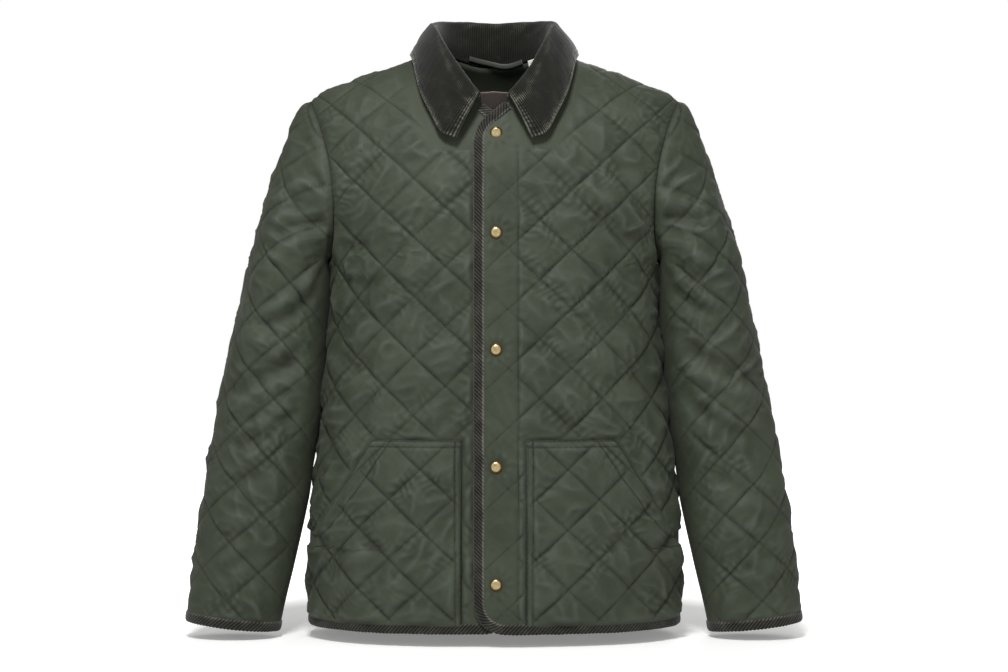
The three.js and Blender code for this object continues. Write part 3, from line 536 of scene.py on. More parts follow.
def quilted_nylon():
    """Woven nylon taffeta with a soft calendered sheen. It is a dull olive green, with painted shade in its
    hollows and a painted bluish highlight on its crests. It is darkest along the stitched lines, whose thread
    lies in a groove, and it has small soft crumples that are too fine for the mesh."""
    material, tree, shader, place = new_material("quilted_nylon")
    colour = ramped(tree, noise(tree, place, 14.0, 5.0, 0.6), (0.34, "#31372a"), (0.66, "#3e4436"))
    hollow = attribute(tree, "hollow")
    # Painted shade darkens the hollows, and a painted bluish highlight pales the crests.
    for start, end, share, shade in ((0.1, 1.5, 0.55, "#181c13"), (0.0, -1.1, 0.5, "#4b524a")):
        colour = mixed(tree, ranged(tree, hollow, start, end, 0.0, share), colour, linear(shade))
    broken = noise(tree, place, 420.0, 1.0)
    for key, reach, shade in (("stitch", 1.15, 0.7), ("topstitch", 1.3, 0.8)):
        line = ranged(tree, attribute(tree, key), 0.3, reach, 1.0, 0.0)
        thread = ranged(tree, broken, 0.35, 0.6, 0.35, shade)
        colour = mixed(tree, worked(tree, "MULTIPLY", line, thread), colour, linear("#14170f"))
    finished(tree, shader, colour, noise(tree, place, 55.0, 2.5, 0.5, 0.4), 0.6, 0.0022,
             Roughness=0.66, IOR=1.38, Sheen_Weight=0.04, Sheen_Roughness=0.4)
    return material


def lining_taffeta():
    """Plain woven lining in the same olive, smoother and darker than the outside."""
    material, _, shader, _ = new_material("lining_taffeta")
    shader.inputs["Base Color"].default_value = linear("#30352a")
    shader.inputs["Roughness"].default_value = 0.55
    return material


NYLON = quilted_nylon()
LINING = lining_taffeta()
STEP = 4  # fine grid points for each one of the lining
FAR = 99.0  # a distance to a stitched line that is out of its reach
GONE = 60.0  # added to such a distance where the line isn't there
SETTLED = 1.4  # how far the shoulders' padding has sunk
PANEL_ROWS = 4 * 86 + 1
FRONT_COLUMNS = 4 * 34 + 1
BACK_COLUMNS = 4 * 62 + 1
PANEL_LOW = 3.0  # the cloth ends inside the binding's fold
FRONT_FOLDS = {  # over, up, over, up, half width, height: drag lines from the armhole, then hem and chest
    1: [(196, 470, 118, 520, 11, -2.2), (206, 440, 128, 452, 9, -1.7), (205, 500, 150, 585, 10, -1.8),
        (60, 300, 150, 250, 16, 1.6), (210, 330, 130, 300, 13, -1.9), (90, 395, 35, 330, 14, -1.2),
        (70, 120, 78, 20, 14, 1.5), (160, 110, 165, 15, 16, -1.8), (225, 250, 190, 180, 12, 1.6)],
    -1: [(198, 462, 122, 500, 10, -2.0), (206, 432, 134, 424, 9, -1.9), (203, 510, 148, 600, 11, -1.6),
         (70, 280, 160, 235, 15, 1.5), (214, 340, 140, 322, 12, -2.0), (100, 410, 48, 352, 14, -1.3),
         (84, 125, 90, 20, 15, -1.4), (172, 120, 168, 12, 15, 1.6), (228, 262, 196, 196, 12, -1.5)],
}
BACK_FOLDS = [
    (-200, 470, -110, 540, 12, -2.4), (200, 466, 120, 530, 11, -2.2), (-205, 430, -120, 436, 10, -1.9),
    (206, 436, 126, 428, 10, -1.8), (-90, 600, 80, 596, 20, 2.0), (-140, 330, -30, 290, 17, -1.8),
    (150, 300, 40, 336, 16, 1.7), (-60, 160, -70, 20, 16, 1.8), (70, 150, 92, 18, 17, -1.8),
    (0, 380, 10, 230, 22, 1.6),
]
QUILT_AT = {1: (133.0, 496.0), -1: (136.0, 511.0), 0: (0.0, 500.0)}  # one crossing of the stitched lines


def in_pocket(x, z):
    """1 behind a patch pocket, fading to 0 within a few millimetres of its outline, and at once at the
    side."""
    mouth = np.clip((z - POCKET["top_z"]) / (POCKET["slant_z"] - POCKET["top_z"]), 0, 1)
    outer = POCKET["top_x"] + (POCKET["slant_x"] - POCKET["top_x"]) * mouth + 80 * (z < POCKET["slant_z"])
    inside = np.minimum(np.minimum(x - POCKET["inner_x"], POCKET["top_z"] - z), outer - x)
    return ease((inside + 1 + 4 * ease((205 - x) / 30)) / 4.5)


def big_shape(u, v, folds, seed):
    """Creases and slow swells, which the lining follows too."""
    swell = 1.7 * rumple(u, v, 95, seed + 11) + 1.1 * rumple(u, v, 48, seed + 12)
    return soft_folds(u, v, folds) + swell


def under_collar(x, y, below):
    """1 under the collar's fall and 0 beyond it, on an ellipse about the neck."""
    return 1 - ease((np.hypot(x / 118, (y - NECK["y"]) / 112) - 0.96) * 9 + below)


def front_shape(grid, lap, seed):
    """How far a front's outside and inside stand off the body, and its layers. Quilting lies flatter behind
    the pocket, on the placket, under the collar and at the binding, and the cloth is pressed flat round
    each snap."""
    x, y, z, u, v = (grid[..., k] for k in (0, 1, 2, 6, 7))
    side_gap = u[:, -1:] - u
    shoulder_gap = v[-1:, :] - v
    inset = free_edge_inset(x, z)
    away = ease((inset - BINDING - 1) / 30) * ease(side_gap / 25) * ease((STRAIGHT + 190 - v) / 60)
    big = big_shape(u, v, FRONT_FOLDS[lap], seed) * away
    height, stitch = quilting(u, v, *QUILT_AT[lap], seed)
    placket = 1 - ease((x - PLACKET_X + 1) / 5) if lap > 0 else 1 - ease((x - LAP - 1) / 6)
    collar = under_collar(x, y, 3 * (z < -110))
    pocket = in_pocket(x, z)
    shoulder = ease((z + 100) / 70)
    full = ease((inset - BINDING + 1) / 7) * ease(side_gap / 14) * ease(shoulder_gap / 7)
    full = full * (1 - 0.72 * placket) * (1 - collar) * (1 - pocket) * (1 - 0.5 * shoulder)
    rolled = seam_roll(side_gap, v, seed) + seam_roll(shoulder_gap, u, seed + 5)
    rolled = rolled * (1 - pocket * ease(side_gap / 12)) * ease((inset - BINDING) / 4)
    tucked = 1 - ease((inset - BINDING + 3) / 3)
    placket_line = bell(x - PLACKET_X, 1.7) * (lap > 0) * (z < -105)
    base = lift_at(x, lap) + big - SETTLED * shoulder
    outside = base + height * full + rolled - 0.9 * placket_line * (1 - pocket) - 0.5 * tucked - 0.4 * pocket
    inside = base - WALL + 0.5 * tucked
    line = stitch + GONE * (pocket + collar + tucked)
    line = np.minimum(line, 0.5 * np.minimum(side_gap, shoulder_gap) + GONE * pocket)
    top = np.abs(x - PLACKET_X) + (0 if lap > 0 else FAR)
    top = top + GONE * ((z > -112) * 1.0 + (z < HEM + 30) + pocket)
    pressed = 0 * x
    for at in SNAP_Z if lap > 0 else ():
        far, turn = np.hypot(x - SNAP_X, z - at), np.arctan2(z - at, x - SNAP_X)
        pressed = pressed + np.exp(-((far / 13.0) ** 6))
        outside = outside + 0.55 * np.cos(11 * turn + 0.2 * at) * bell(far - 14, 6)
    outside = outside * (1 - pressed) + (lift_at(x, lap) - 0.1) * pressed
    inside = inside * (1 - pressed) + (lift_at(x, lap) - WALL) * pressed
    # The depth of the hollows sets the painted shade and the painted highlight on the front's cloth.
    return outside, inside, {"stitch": line, "topstitch": top, "hollow": hollows(outside)}


def build_front(name, lap, seed):
    """One front: its cloth, pushed out along the body's normals, mirrored for the wearer's right."""
    grid = front_cloth(PANEL_ROWS, FRONT_COLUMNS, PANEL_LOW)
    return cloth_wall(name, grid, *front_shape(grid, lap, seed), SEAM / 2, lap)


def build_back():
    """The back: quilted all over except under the collar and in the binding."""
    grid = back_cloth(PANEL_ROWS, BACK_COLUMNS, PANEL_LOW)
    x, y, z, u, v = (grid[..., k] for k in (0, 1, 2, 6, 7))
    side_gap = np.minimum(u[:, -1:] - u, u - u[:, :1])
    shoulder_gap = (v[-1:, :] - v) + 40 * (np.abs(x) < NECK["half_x"] - 6)
    inset = z - HEM
    away = ease((inset - BINDING - 1) / 30) * ease(side_gap / 25) * ease((STRAIGHT + 190 - v) / 60)
    big = big_shape(u, v, BACK_FOLDS, 60) * away
    height, stitch = quilting(u, v, *QUILT_AT[0], 60)
    collar = under_collar(x, y, 0) * ease((z + 14) / 10)
    shoulder = ease((z + 100) / 70)
    full = ease((inset - BINDING + 1) / 7) * ease(side_gap / 14) * ease(shoulder_gap / 7) * (1 - collar)
    full = full * (1 - 0.5 * shoulder)
    rolled = seam_roll(side_gap, v, 61) + seam_roll(shoulder_gap, u, 66)
    tucked = 1 - ease((inset - BINDING + 3) / 3)
    base = big - SETTLED * shoulder
    outside = base + height * full + rolled * ease((inset - BINDING) / 4) - 0.5 * tucked
    inside = base - WALL + 0.5 * tucked
    line = np.minimum(stitch + GONE * (collar + tucked), 0.5 * np.minimum(side_gap, shoulder_gap))
    # The depth of the hollows sets the painted shade and the painted highlight on the back's cloth.
    layers = {"stitch": line, "topstitch": FAR + 0 * u, "hollow": hollows(outside)}
    return cloth_wall("back_panel", grid, outside, inside, layers, -SEAM / 2)


back = piece(build_back(), [NYLON, LINING], "back")
FRONT_SEED = {1: 20, -1: 40}
for name, lap, node in (("front_panel_left", 1, "front_left"), ("front_panel_right", -1, "front_right")):
    front = piece(build_front(name, lap, FRONT_SEED[lap]), [NYLON, LINING], node)


# Sleeves: each is one piece of the same quilted cloth, sewn up its underarm seam into a tube and set into
# the armhole. They hang clear of the body, a little forward, and taper to a bound cuff.
OUTER_RAIL = np.array([
    (232, -39), (244, -49), (251, -64), (261, -89), (271.5, -117), (287, -164), (307, -239), (329.5, -339),
    (349, -439), (365, -539), (375, -614), (380.5, -685),
], float)
INNER_RAIL = np.array([  # off the body's side, height
    (-0.2, -241.8), (4, -244.6), (4.4, -256), (3.6, -280), (3.2, -310), (3, -400), (3, -500), (3.4, -537),
    (17, -614), (28.3, -664), (35, -698),
])
SLEEVE_DEPTH = np.array([  # share of the length, half depth, middle
    (0, 60, 3), (0.2, 75, 3), (0.4, 72, 1), (0.65, 60, -6), (0.85, 48, -18), (1, 41, -26),
])
CAP_END, CAP_TURN, CAP_SOFT = 0.3, 0.3, 0.12
SLEEVE_ROWS = 4 * 72 + 1
SLEEVE_COLUMNS = 4 * 44


def rail(rows):
    """Dense points and lengths along a smooth curve through (x, z) rows."""
    gap = np.hypot(np.diff(rows[:, 0]), np.diff(rows[:, 1])) ** 0.5
    table = np.column_stack([np.concatenate([[0], np.cumsum(gap)]), rows])
    fine = np.linspace(0, table[-1, 0], 3000)
    x, z = through(table, 1, fine), through(table, 2, fine)
    return x, z, lengths(np.stack([x, z], -1))


def on_rail(curve, share):
    """Place on a rail at a share of its length."""
    x, z, length = curve
    return np.stack([np.interp(share * length[-1], length, c) for c in (x, 0 * x, z)], -1)


outer_rail = rail(OUTER_RAIL)
inner_rail = rail(np.column_stack([
    through(TORSO, 1, INNER_RAIL[:, 1]) + INNER_RAIL[:, 0], INNER_RAIL[:, 1],
]))
SLEEVE_LENGTH = outer_rail[2][-1]


def body_depth(x, z, side):
    """The y of the body at a place seen from the front."""
    share = np.clip(np.abs(x) / through(TORSO, 1, z), 0, 1)
    rise = np.clip((z - CHEST) / (through(RIDGE, 1, np.abs(x)) - CHEST), 0, 1)
    depth = np.where(side < 0, through(TORSO, 2, z), through(TORSO, 3, z))
    return MIDDLE_Y + side * depth * (1 - share**ROUNDNESS) ** (1 / ROUNDNESS) * np.sqrt(1 - rise * rise)


def sleeve(angle, share):
    """Point of the wearer's left sleeve. Angle 0 is its outside, a quarter turn its front and half a turn
    the body side. Each section is an ellipse between the two rails, and the head takes the armhole's own
    shape."""
    slide = lambda w: np.hypot(w - CAP_TURN, CAP_SOFT) + w - CAP_TURN
    inward = (slide(share) - slide(0)) / (slide(1) - slide(0))
    outside = on_rail(outer_rail, share)
    inside = on_rail(inner_rail, inward)
    c, s = np.cos(angle), np.sin(angle)
    free = ease(share / CAP_END)
    side = np.where(s > 0, -1, 1)
    bow = np.where(s > 0, ARMHOLE["bow"][-1], ARMHOLE["bow"][1])
    p = (outside + inside) / 2 + (outside - inside) * c[..., None] / 2
    p[..., 0] -= bow * s * s * (1 - free) ** 2
    seam_x = (ARMHOLE["top_x"] + ARMHOLE["under_x"]) / 2 - bow * s * s
    seam_x = seam_x + (ARMHOLE["top_x"] - ARMHOLE["under_x"]) / 2 * c
    seam_z = (ARMHOLE["top_z"] + ARMHOLE["under_z"]) / 2 + (ARMHOLE["top_z"] - ARMHOLE["under_z"]) / 2 * c
    depth = through(SLEEVE_DEPTH, 1, share)
    hung = through(SLEEVE_DEPTH, 2, share) - depth * s
    p[..., 1] = body_depth(seam_x, seam_z, side) * (1 - free) + hung * free
    return p


def sleeve_cloth(rows, columns, end):
    """The sleeve's cloth as a grid from the armhole to the cuff: places, normals, the lengths over the
    cloth round from the outside and up its grain from the cuff, and how far each point is from the armhole
    and the cuff."""
    angle = np.linspace(-math.pi, math.pi, columns + 1)[None, :]
    share = np.linspace(0, end, rows)[:, None]
    p = sleeve(angle + 0 * share, share + 0 * angle)
    seam = np.where(np.sin(angle) > 0, armhole_x(p[0, :, 2], -1), armhole_x(p[0, :, 2], 1))
    p[0, :, 0] = np.maximum(p[0, :, 0], seam + 2 * SEAM)
    grain_at = np.clip(np.linspace(0, end, rows), CAP_TURN, 1)
    grain = unit(on_rail(outer_rail, np.minimum(grain_at + 0.02, 1)) - on_rail(outer_rail, grain_at - 0.02))
    step = np.diff(p, axis=1)
    step = step - np.sum(step * grain[:, None], -1, keepdims=True) * grain[:, None]
    round_u = np.concatenate([np.zeros((rows, 1)), np.cumsum(np.linalg.norm(step, axis=-1), 1)], 1)
    round_u -= round_u[:, columns // 2][:, None]
    fall = np.sum(np.diff(p, axis=0) * grain[:-1, None], -1)
    down = np.concatenate([np.zeros((1, columns + 1)), np.cumsum(fall, 0)])
    cuff = np.sum((p[-1] - p[-1, columns // 2]) * grain[-1], -1)
    up = down[-1:] - down - cuff + (1 - end) * SLEEVE_LENGTH
    around = np.gradient(np.concatenate([p[:, -3:-1], p, p[:, 1:3]], 1), axis=1)[:, 2:-2]
    run = np.cumsum(np.linalg.norm(np.diff(p, axis=0, prepend=p[:1]), axis=-1), 0)
    normal = unit(np.cross(around, np.gradient(p, axis=0)))
    outwards = np.sum(normal * (p - p.mean(1, keepdims=True)), -1).mean()
    layers = [round_u, up, run, run[-1:] - run]
    return np.concatenate([p, normal * np.sign(outwards)] + [k[..., None] for k in layers], -1)


SLEEVE_FOLDS = {  # over, up, over, up, half width, height: round the armpit, the elbow and above the cuff
    1: [(175, 560, 60, 500, 12, -2.6), (170, 500, 70, 420, 12, 2.0), (175, 470, 90, 380, 10, -2.2),
        (-170, 540, -60, 480, 13, -2.2), (150, 360, 10, 300, 13, -2.4), (160, 320, 30, 262, 12, 1.8),
        (150, 290, 40, 230, 10, -2.0), (-20, 330, -130, 290, 13, -1.8), (120, 190, 0, 160, 12, -1.8),
        (110, 120, -10, 92, 11, 1.6), (100, 80, 10, 60, 9, -1.5), (-20, 110, -110, 84, 12, -1.5)],
    -1: [(170, 550, 70, 488, 12, -2.4), (172, 510, 64, 436, 12, 1.8), (170, 462, 80, 366, 11, -2.4),
         (-168, 530, -70, 470, 13, -2.0), (146, 344, 16, 292, 13, -2.2), (156, 312, 24, 248, 12, 2.0),
         (148, 276, 50, 222, 10, -1.9), (-16, 318, -126, 280, 13, -2.0), (116, 200, 6, 172, 12, -1.9),
         (112, 130, -6, 104, 11, 1.7), (98, 88, 0, 64, 9, -1.6), (-24, 120, -104, 90, 12, -1.4)],
}
SLEEVE_QUILT_AT = (-4.0, 318.0)
HEAD_TUCK = 2.2  # the sleeve's head is turned in under the edge of the body


def build_sleeve(name, sign, seed):
    """One sleeve: quilted except beside the body, where it is pressed flat, and drawn in at both of its
    seams."""
    grid = sleeve_cloth(SLEEVE_ROWS, SLEEVE_COLUMNS, 1 - PANEL_LOW / SLEEVE_LENGTH)
    angle = np.linspace(-math.pi, math.pi, SLEEVE_COLUMNS + 1)[None, :]
    u, v = grid[..., 6], grid[..., 7]
    body_side = ease(1.7 * (1 + np.cos(angle)))
    seam_gap = u[:, -1:] - np.abs(u)
    head_gap, cuff_gap = grid[..., 8], grid[..., 9] + PANEL_LOW
    height, stitch = quilting(u, v, *SLEEVE_QUILT_AT, seed)
    inner_part = ease((np.abs(u) - 30) / 60)
    big = 0.6 * big_shape(u, v, SLEEVE_FOLDS[sign], seed) * (0.5 + 0.5 * inner_part)
    big = big + 0.9 * soft_folds(u, v, SLEEVE_FOLDS[sign]) * inner_part
    bunched = inner_part * (bell(v - 530, 85) + 0.7 * bell(v - 330, 60))
    big = big + 5.0 * bunched * creases(0.45 * u, v + 0.55 * u, 19, seed + 30)
    big = big * ease(head_gap / 25) * body_side * ease((cuff_gap - BINDING - 1) / 30)
    big = big - 2.0 * (1 - inner_part) * ease(head_gap / 20) * ease((cuff_gap - BINDING) / 40)
    big = big + 4.4 * ease(1.6 * (-np.cos(angle) - 0.3)) * ease((v - 190) / 80) * ease(head_gap / 12)
    full = ease((cuff_gap - BINDING + 1) / 7) * ease(head_gap / 8) * body_side
    full = full * (0.7 + 0.3 * inner_part) * (0.5 + 0.5 * ease(head_gap / 70))
    head_run = lengths(grid[0, :, :3])[None, :]
    rolled = seam_roll(seam_gap, v, seed + 7) * body_side
    rolled = rolled + seam_roll(head_gap, head_run + 0 * u, seed + 8) * (0.3 + 0.7 * body_side)
    tucked = 1 - ease((cuff_gap - BINDING + 3) / 3)
    outside = big + height * full + rolled * ease((cuff_gap - BINDING) / 4) - 0.5 * tucked
    inside = big - WALL + 0.5 * tucked
    grid[..., 0] -= HEAD_TUCK * bell(head_gap, 2.5)
    line = np.minimum(stitch + GONE * tucked, 0.5 * np.minimum(head_gap, seam_gap))
    # The depth of the hollows sets the painted shade and the painted highlight on the sleeve's cloth.
    flat = {"stitch": line, "topstitch": FAR + 0 * u, "hollow": hollows(outside)}
    layers = {key: value[:, :-1] for key, value in flat.items()}
    return cloth_wall(name, grid[:, :-1], outside[:, :-1], inside[:, :-1], layers, mirror=sign, closed=True)


for name, sign, seed, node in (
        ("sleeve_tube_left", 1, 80, "sleeve_left"), ("sleeve_tube_right", -1, 100, "sleeve_right")):
    tube = piece(build_sleeve(name, sign, seed), [NYLON, LINING], node)


# Patch pockets: one on each front, cut from the same quilted cloth with a slanted mouth. They are stitched
# down twice along the top and the inner side, and are caught in the side seam and the hem's binding.
POCKET_ROWS = 4 * 25 + 1
POCKET_COLUMNS = 4 * 24 + 1
POCKET_QUILT_AT = (127.0, 89.0)
FACING = 22.0  # width of the mouth's facing
STITCH_ROWS = (2.2, 8.7)  # two rows of stitching, measured from the pocket's edge
POCKET_STAND = 0.35  # gap between the front and the pocket's back


def build_pocket(name, lap, seed):
    """One pocket: the front's own cloth under it, moved out. Its edges are turned under, so they are
    rounded and a little thicker, and its mouth follows a slant across each row."""
    rise = np.linspace(PANEL_LOW + 1, POCKET["top_z"] - HEM, POCKET_ROWS)
    dense = measured_body(-1, rise, 0.0)
    x, z = dense[..., 0], dense[..., 2]
    mouth = (z - POCKET["top_z"]) / (POCKET["slant_z"] - POCKET["top_z"])
    slant = POCKET["top_x"] + (POCKET["slant_x"] - POCKET["top_x"]) * mouth
    inner_end = crossing(x - POCKET["inner_x"], True)
    outer_end = crossing(slant - x, False)
    place = np.arange(dense.shape[1])
    at = np.empty((POCKET_ROWS, POCKET_COLUMNS))
    for r in range(POCKET_ROWS):
        ends = np.interp([inner_end[r], outer_end[r]], place, dense[r, :, 6])
        at[r] = np.interp(np.linspace(*ends, POCKET_COLUMNS), dense[r, :, 6], place)
    grid = resampled(dense, at)
    x, z, u, v = (grid[..., k] for k in (0, 2, 6, 7))
    below = front_shape(grid, lap, FRONT_SEED[lap])[0]
    inner_gap = u - u[:, :1]
    top_gap = v[-1:] - v
    lean = math.cos(math.atan2(POCKET["slant_x"] - POCKET["top_x"], POCKET["top_z"] - POCKET["slant_z"]))
    open_part = z > POCKET["slant_z"] - 4
    mouth_gap = np.where(open_part, (u[:, -1:] - u) * lean, 99)
    side_gap = np.where(open_part, 99, u[:, -1:] - u)
    edge_gap = np.minimum(np.minimum(inner_gap, top_gap), mouth_gap)
    inset = free_edge_inset(x, z)
    height, stitch = quilting(u, v, *POCKET_QUILT_AT, seed)
    rows = [np.abs(gap - at) for gap in (inner_gap, top_gap) for at in STITCH_ROWS]
    facing = np.minimum(np.abs(mouth_gap - FACING), np.abs(mouth_gap - 2.5))
    # The edge_gap term also paints the pocket's very edge in the thread's dark colour, as painted shade.
    stitched = np.minimum.reduce([*rows, np.where(v > 90, facing, FAR), edge_gap])
    full = ease((edge_gap - STITCH_ROWS[0] - 1) / 10) * ease((inset - BINDING + 1) / 7) * ease(side_gap / 7)
    swell = 1.3 * ease((edge_gap - 4) / 25) * rumple(u, v, 60, seed + 9)
    swell = (swell + 2.2 * ease(mouth_gap / 2) * bell(mouth_gap, 9)) * ease((inset - BINDING) / 12)
    tucked = 1 - ease((inset - BINDING + 3) / 3)
    round_edge = 1.1 * (1 - ease(edge_gap / 2.2))
    wave = np.sin(2 * math.pi * (u + v) / 8.0 + 3 * rumple(u, v, 25, seed + 10))
    puckers = 0.4 * wave * np.exp(-stitched / 3.5)
    thick = WALL * (0.3 + 0.7 * ease(side_gap / 45))
    full = full * (0.25 + 0.75 * ease(side_gap / 50))
    inside = below + POCKET_STAND
    outside = inside + thick + swell * ease(side_gap / 45) + 1.1 * height * full
    outside = outside - 1.3 * bell(stitched, 1.4) + puckers * ease(edge_gap / 3) * (1 - tucked) - round_edge
    outside = outside - 1.6 * tucked - 0.9 * bell(side_gap, 3.0) * (1 - tucked)
    quilt_line = stitch + GONE * (tucked + (edge_gap < STITCH_ROWS[0]))
    # Painted shadow along the mouth's edge and painted shade along the other edges, added to the painted
    # shade and highlight of the hollows.
    shaded = hollows(outside) + 1.8 * bell(mouth_gap, 2.4) + 0.6 * bell(edge_gap, 1.2)
    layers = {"stitch": quilt_line, "topstitch": stitched, "hollow": shaded}
    return cloth_wall(name, grid, np.maximum(outside, inside + 0.5), inside, layers, SEAM / 2, lap)


for name, lap, seed, node, under in (
        ("patch_pocket_left", 1, 120, "pocket_left", "front_panel_left"),
        ("patch_pocket_right", -1, 140, "pocket_right", "front_panel_right")):
    patch = piece(build_pocket(name, lap, seed), [NYLON, LINING], node)


# Binding: strips of needlecord cut on the bias and folded over the raw edges. One strip runs down one front
# edge, round the hem and up the other front edge, and one closes each cuff.
FOLD_PROFILE = np.array([  # across from the cloth's side, out
    (6.1, 0.95), (5.2, 1.65), (2.5, 1.95), (-0.8, 2.0), (-3.6, 1.75), (-5.2, 1.05), (-5.75, 0),
    (-5.2, -1.05), (-3.6, -1.75), (-0.8, -2.0), (2.5, -1.95), (5.2, -1.65), (6.1, -0.95),
])
STRIP_HALF = 0.42
WALE = 4.6  # drawn two to three times as coarse as the real cord, whose ribs are too fine to show
WALE_HEIGHT = 0.45


def corduroy(name, light, middle, dark, pitch, slant):
    """Cotton needlecord: cut pile in raised ribs, matt and near black, browner and paler where it is worn.
    The ribs run up the piece at their pitch, or aslant over it."""
    material, tree, shader, place = new_material(name)
    cloth = add_node(tree, "ShaderNodeUVMap", uv_map="Cloth").outputs["UV"]
    over, up = add_node(tree, "ShaderNodeSeparateXYZ", {0: cloth}).outputs[:2]
    along = worked(tree, "ADD", over, up) if slant else over
    rib = worked(tree, "SINE", worked(tree, "MULTIPLY", along, 2 * math.pi / pitch))
    ribs = ranged(tree, rib, -1.0, 1.0, 0.0, 0.4)
    pale = worked(tree, "MULTIPLY", noise(tree, place, 60.0, 6.0, 0.7), attribute(tree, "worn"))
    colour = ramped(tree, worked(tree, "ADD", pale, ribs), (0.3, dark), (0.7, middle), (1.0, light))
    pile = noise(tree, place, 500.0, 3.0)
    finished(tree, shader, colour, worked(tree, "ADD", pile, ribs), 0.55, 0.0006,
             Roughness=0.95, Specular_IOR_Level=0.15, Sheen_Weight=0.25, Sheen_Roughness=0.5)
    return material


BINDING_CORD = corduroy("bias_needlecord", "#64625a", "#3a3933", "#0d0d0b", WALE, True)


def on_front(x, z):
    """Turn and rise of a place on the body seen from the front."""
    share = x / through(TORSO, 1, z)
    turn = np.sign(share) * np.arcsin(np.abs(share) ** (ROUNDNESS / 2))
    part = np.clip((z - CHEST) / (through(RIDGE, 1, np.abs(x)) - CHEST), 0, 1)
    rise = np.where(z > CHEST, STRAIGHT + np.interp(np.arcsin(part), ARCH_TURN, ARCH_LENGTH), z - HEM)
    return turn, rise


def wall_middle(turn, rise, side, lap):
    """A place in the middle of the wall and the outward normal there."""
    e = 0.004
    p = body(turn, rise, side)
    across = body(np.minimum(turn + e, math.pi / 2), rise, side) - body(turn - e, rise, side)
    up = body(turn, rise + 1, side) - body(turn, np.maximum(rise - 1, 0), side)
    normal = unit(np.cross(across, up)) * -side
    return p + normal * (lift_at(p[..., 0], lap) - WALL / 2)[..., None], normal


def even(points, normals, spacing, closed):
    """The same path with points at an even spacing, and their lengths along it."""
    if closed:
        points, normals = np.concatenate([points, points[:1]]), np.concatenate([normals, normals[:1]])
    length = lengths(points)
    at = np.linspace(0, length[-1], int(length[-1] / spacing) + 1)
    at = at[:-1] if closed else at
    stack = lambda table: np.stack([np.interp(at, length, table[:, k]) for k in range(3)], -1)
    return stack(points), unit(stack(normals)), at


def folded_strip(name, points, normals, spacing, closed, seed):
    """A bias strip folded over an edge and carried along it. The path is the middle of the bound edge, the
    fold is on its outer side, and the ribs are raised slantwise round the strip."""
    line, normal, along = even(points, normals, spacing, closed)
    if closed:
        ahead = unit(np.roll(line, -1, 0) - np.roll(line, 1, 0))
    else:
        ahead = unit(np.gradient(line, axis=0))
    across = unit(np.cross(normal, ahead))
    out = np.cross(ahead, across)
    knots = np.column_stack([np.arange(len(FOLD_PROFILE)), FOLD_PROFILE])
    at = np.linspace(0, len(FOLD_PROFILE) - 1, 21)
    a, b = through(knots, 1, at), through(knots, 2, at)
    girth = lengths(np.stack([a, b], -1))
    da, db = np.gradient(a), np.gradient(b)
    size = np.hypot(da, db)
    na, nb = -db / size, da / size
    if nb[3] < 0:
        na, nb = -na, -nb
    s, g = np.broadcast_arrays(along[:, None], girth)
    ends = ease(girth / 1.5) * ease((girth[-1] - girth) / 1.5)
    rib = WALE_HEIGHT * np.sin(2 * math.pi * (s + g) / WALE)
    ripple = 0.35 * rumple(s, g, 9, seed) + 0.3 * rumple(s, 3 * g, 22, seed + 1)
    sides = []
    for offset in (STRIP_HALF + (rib + ripple) * ends, -STRIP_HALF + 0 * rib):
        pa, pb = a + na * offset, b + nb * offset
        sides.append(line[:, None] + across[:, None] * pa[..., None] + out[:, None] * pb[..., None])
    top_edge = (1 - ease((girth - 1.4) / 1.6)) * (0.3 + 0.7 * np.abs(ahead[:, 2:]))
    worn = 0.6 + 0.12 * rumple(s, g, 14, seed + 2) + 0.9 * top_edge
    there_and_back = lambda value: np.concatenate([value, value[:, ::-1]], 1)
    rings = np.concatenate([sides[0], sides[1][:, ::-1]], 1)
    return loop_mesh(name, rings, *(there_and_back(value) for value in (s, g, worn)), closed)


def loop_mesh(name, rings, over, up, worn, closed):
    """Closed mesh from rings of points, in mm, one ring at each place along a path. An open path's end
    rings are closed by quads across them."""
    count, size = rings.shape[:2]
    ids = np.arange(count * size).reshape(count, size)
    around = np.concatenate([ids, ids[:, :1]], 1)
    if closed:
        around = np.concatenate([around, around[:1]], 0)
    faces = np.stack([around[:-1, :-1], around[1:, :-1], around[1:, 1:], around[:-1, 1:]], -1)
    faces = faces.reshape(-1, 4).tolist()
    if not closed:
        for ring, turn in ((ids[0].tolist(), 1), (ids[-1].tolist(), -1)):
            quads = [[ring[k], ring[k + 1], ring[-2 - k], ring[-1 - k]] for k in range(size // 2 - 1)]
            faces += [quad[::turn] for quad in quads]
    cloth = np.stack([over.ravel(), up.ravel()], -1)
    return closed_mesh(name, rings.reshape(-1, 3), faces, {"worn": worn.ravel()}, cloth)


def front_edge_path(inset, spacing):
    """Places down a front's free edge from the neckline to the end of the lower corner, seen from the
    front."""
    low, high = CORNER - inset, THROAT["radius"] - inset
    slant = math.sqrt(0.5)
    throat = np.linspace(math.pi / 4, math.pi / 2, 24)
    corner = np.linspace(0, math.pi / 2, 32)
    neck_x, neck_z = THROAT["neck_x"] + inset * slant, THROAT["neck_z"] - inset * slant
    x = np.concatenate([[neck_x], THROAT["x"] - high * np.sin(throat), CORNER - LAP - low * np.cos(corner)])
    z = np.concatenate([[neck_z], THROAT["z"] + high * np.cos(throat), HEM + CORNER - low * np.sin(corner)])
    length = lengths(np.stack([x, z], -1))
    at = np.linspace(0, length[-1], int(length[-1] / spacing))
    return np.interp(at, length, x), np.interp(at, length, z)


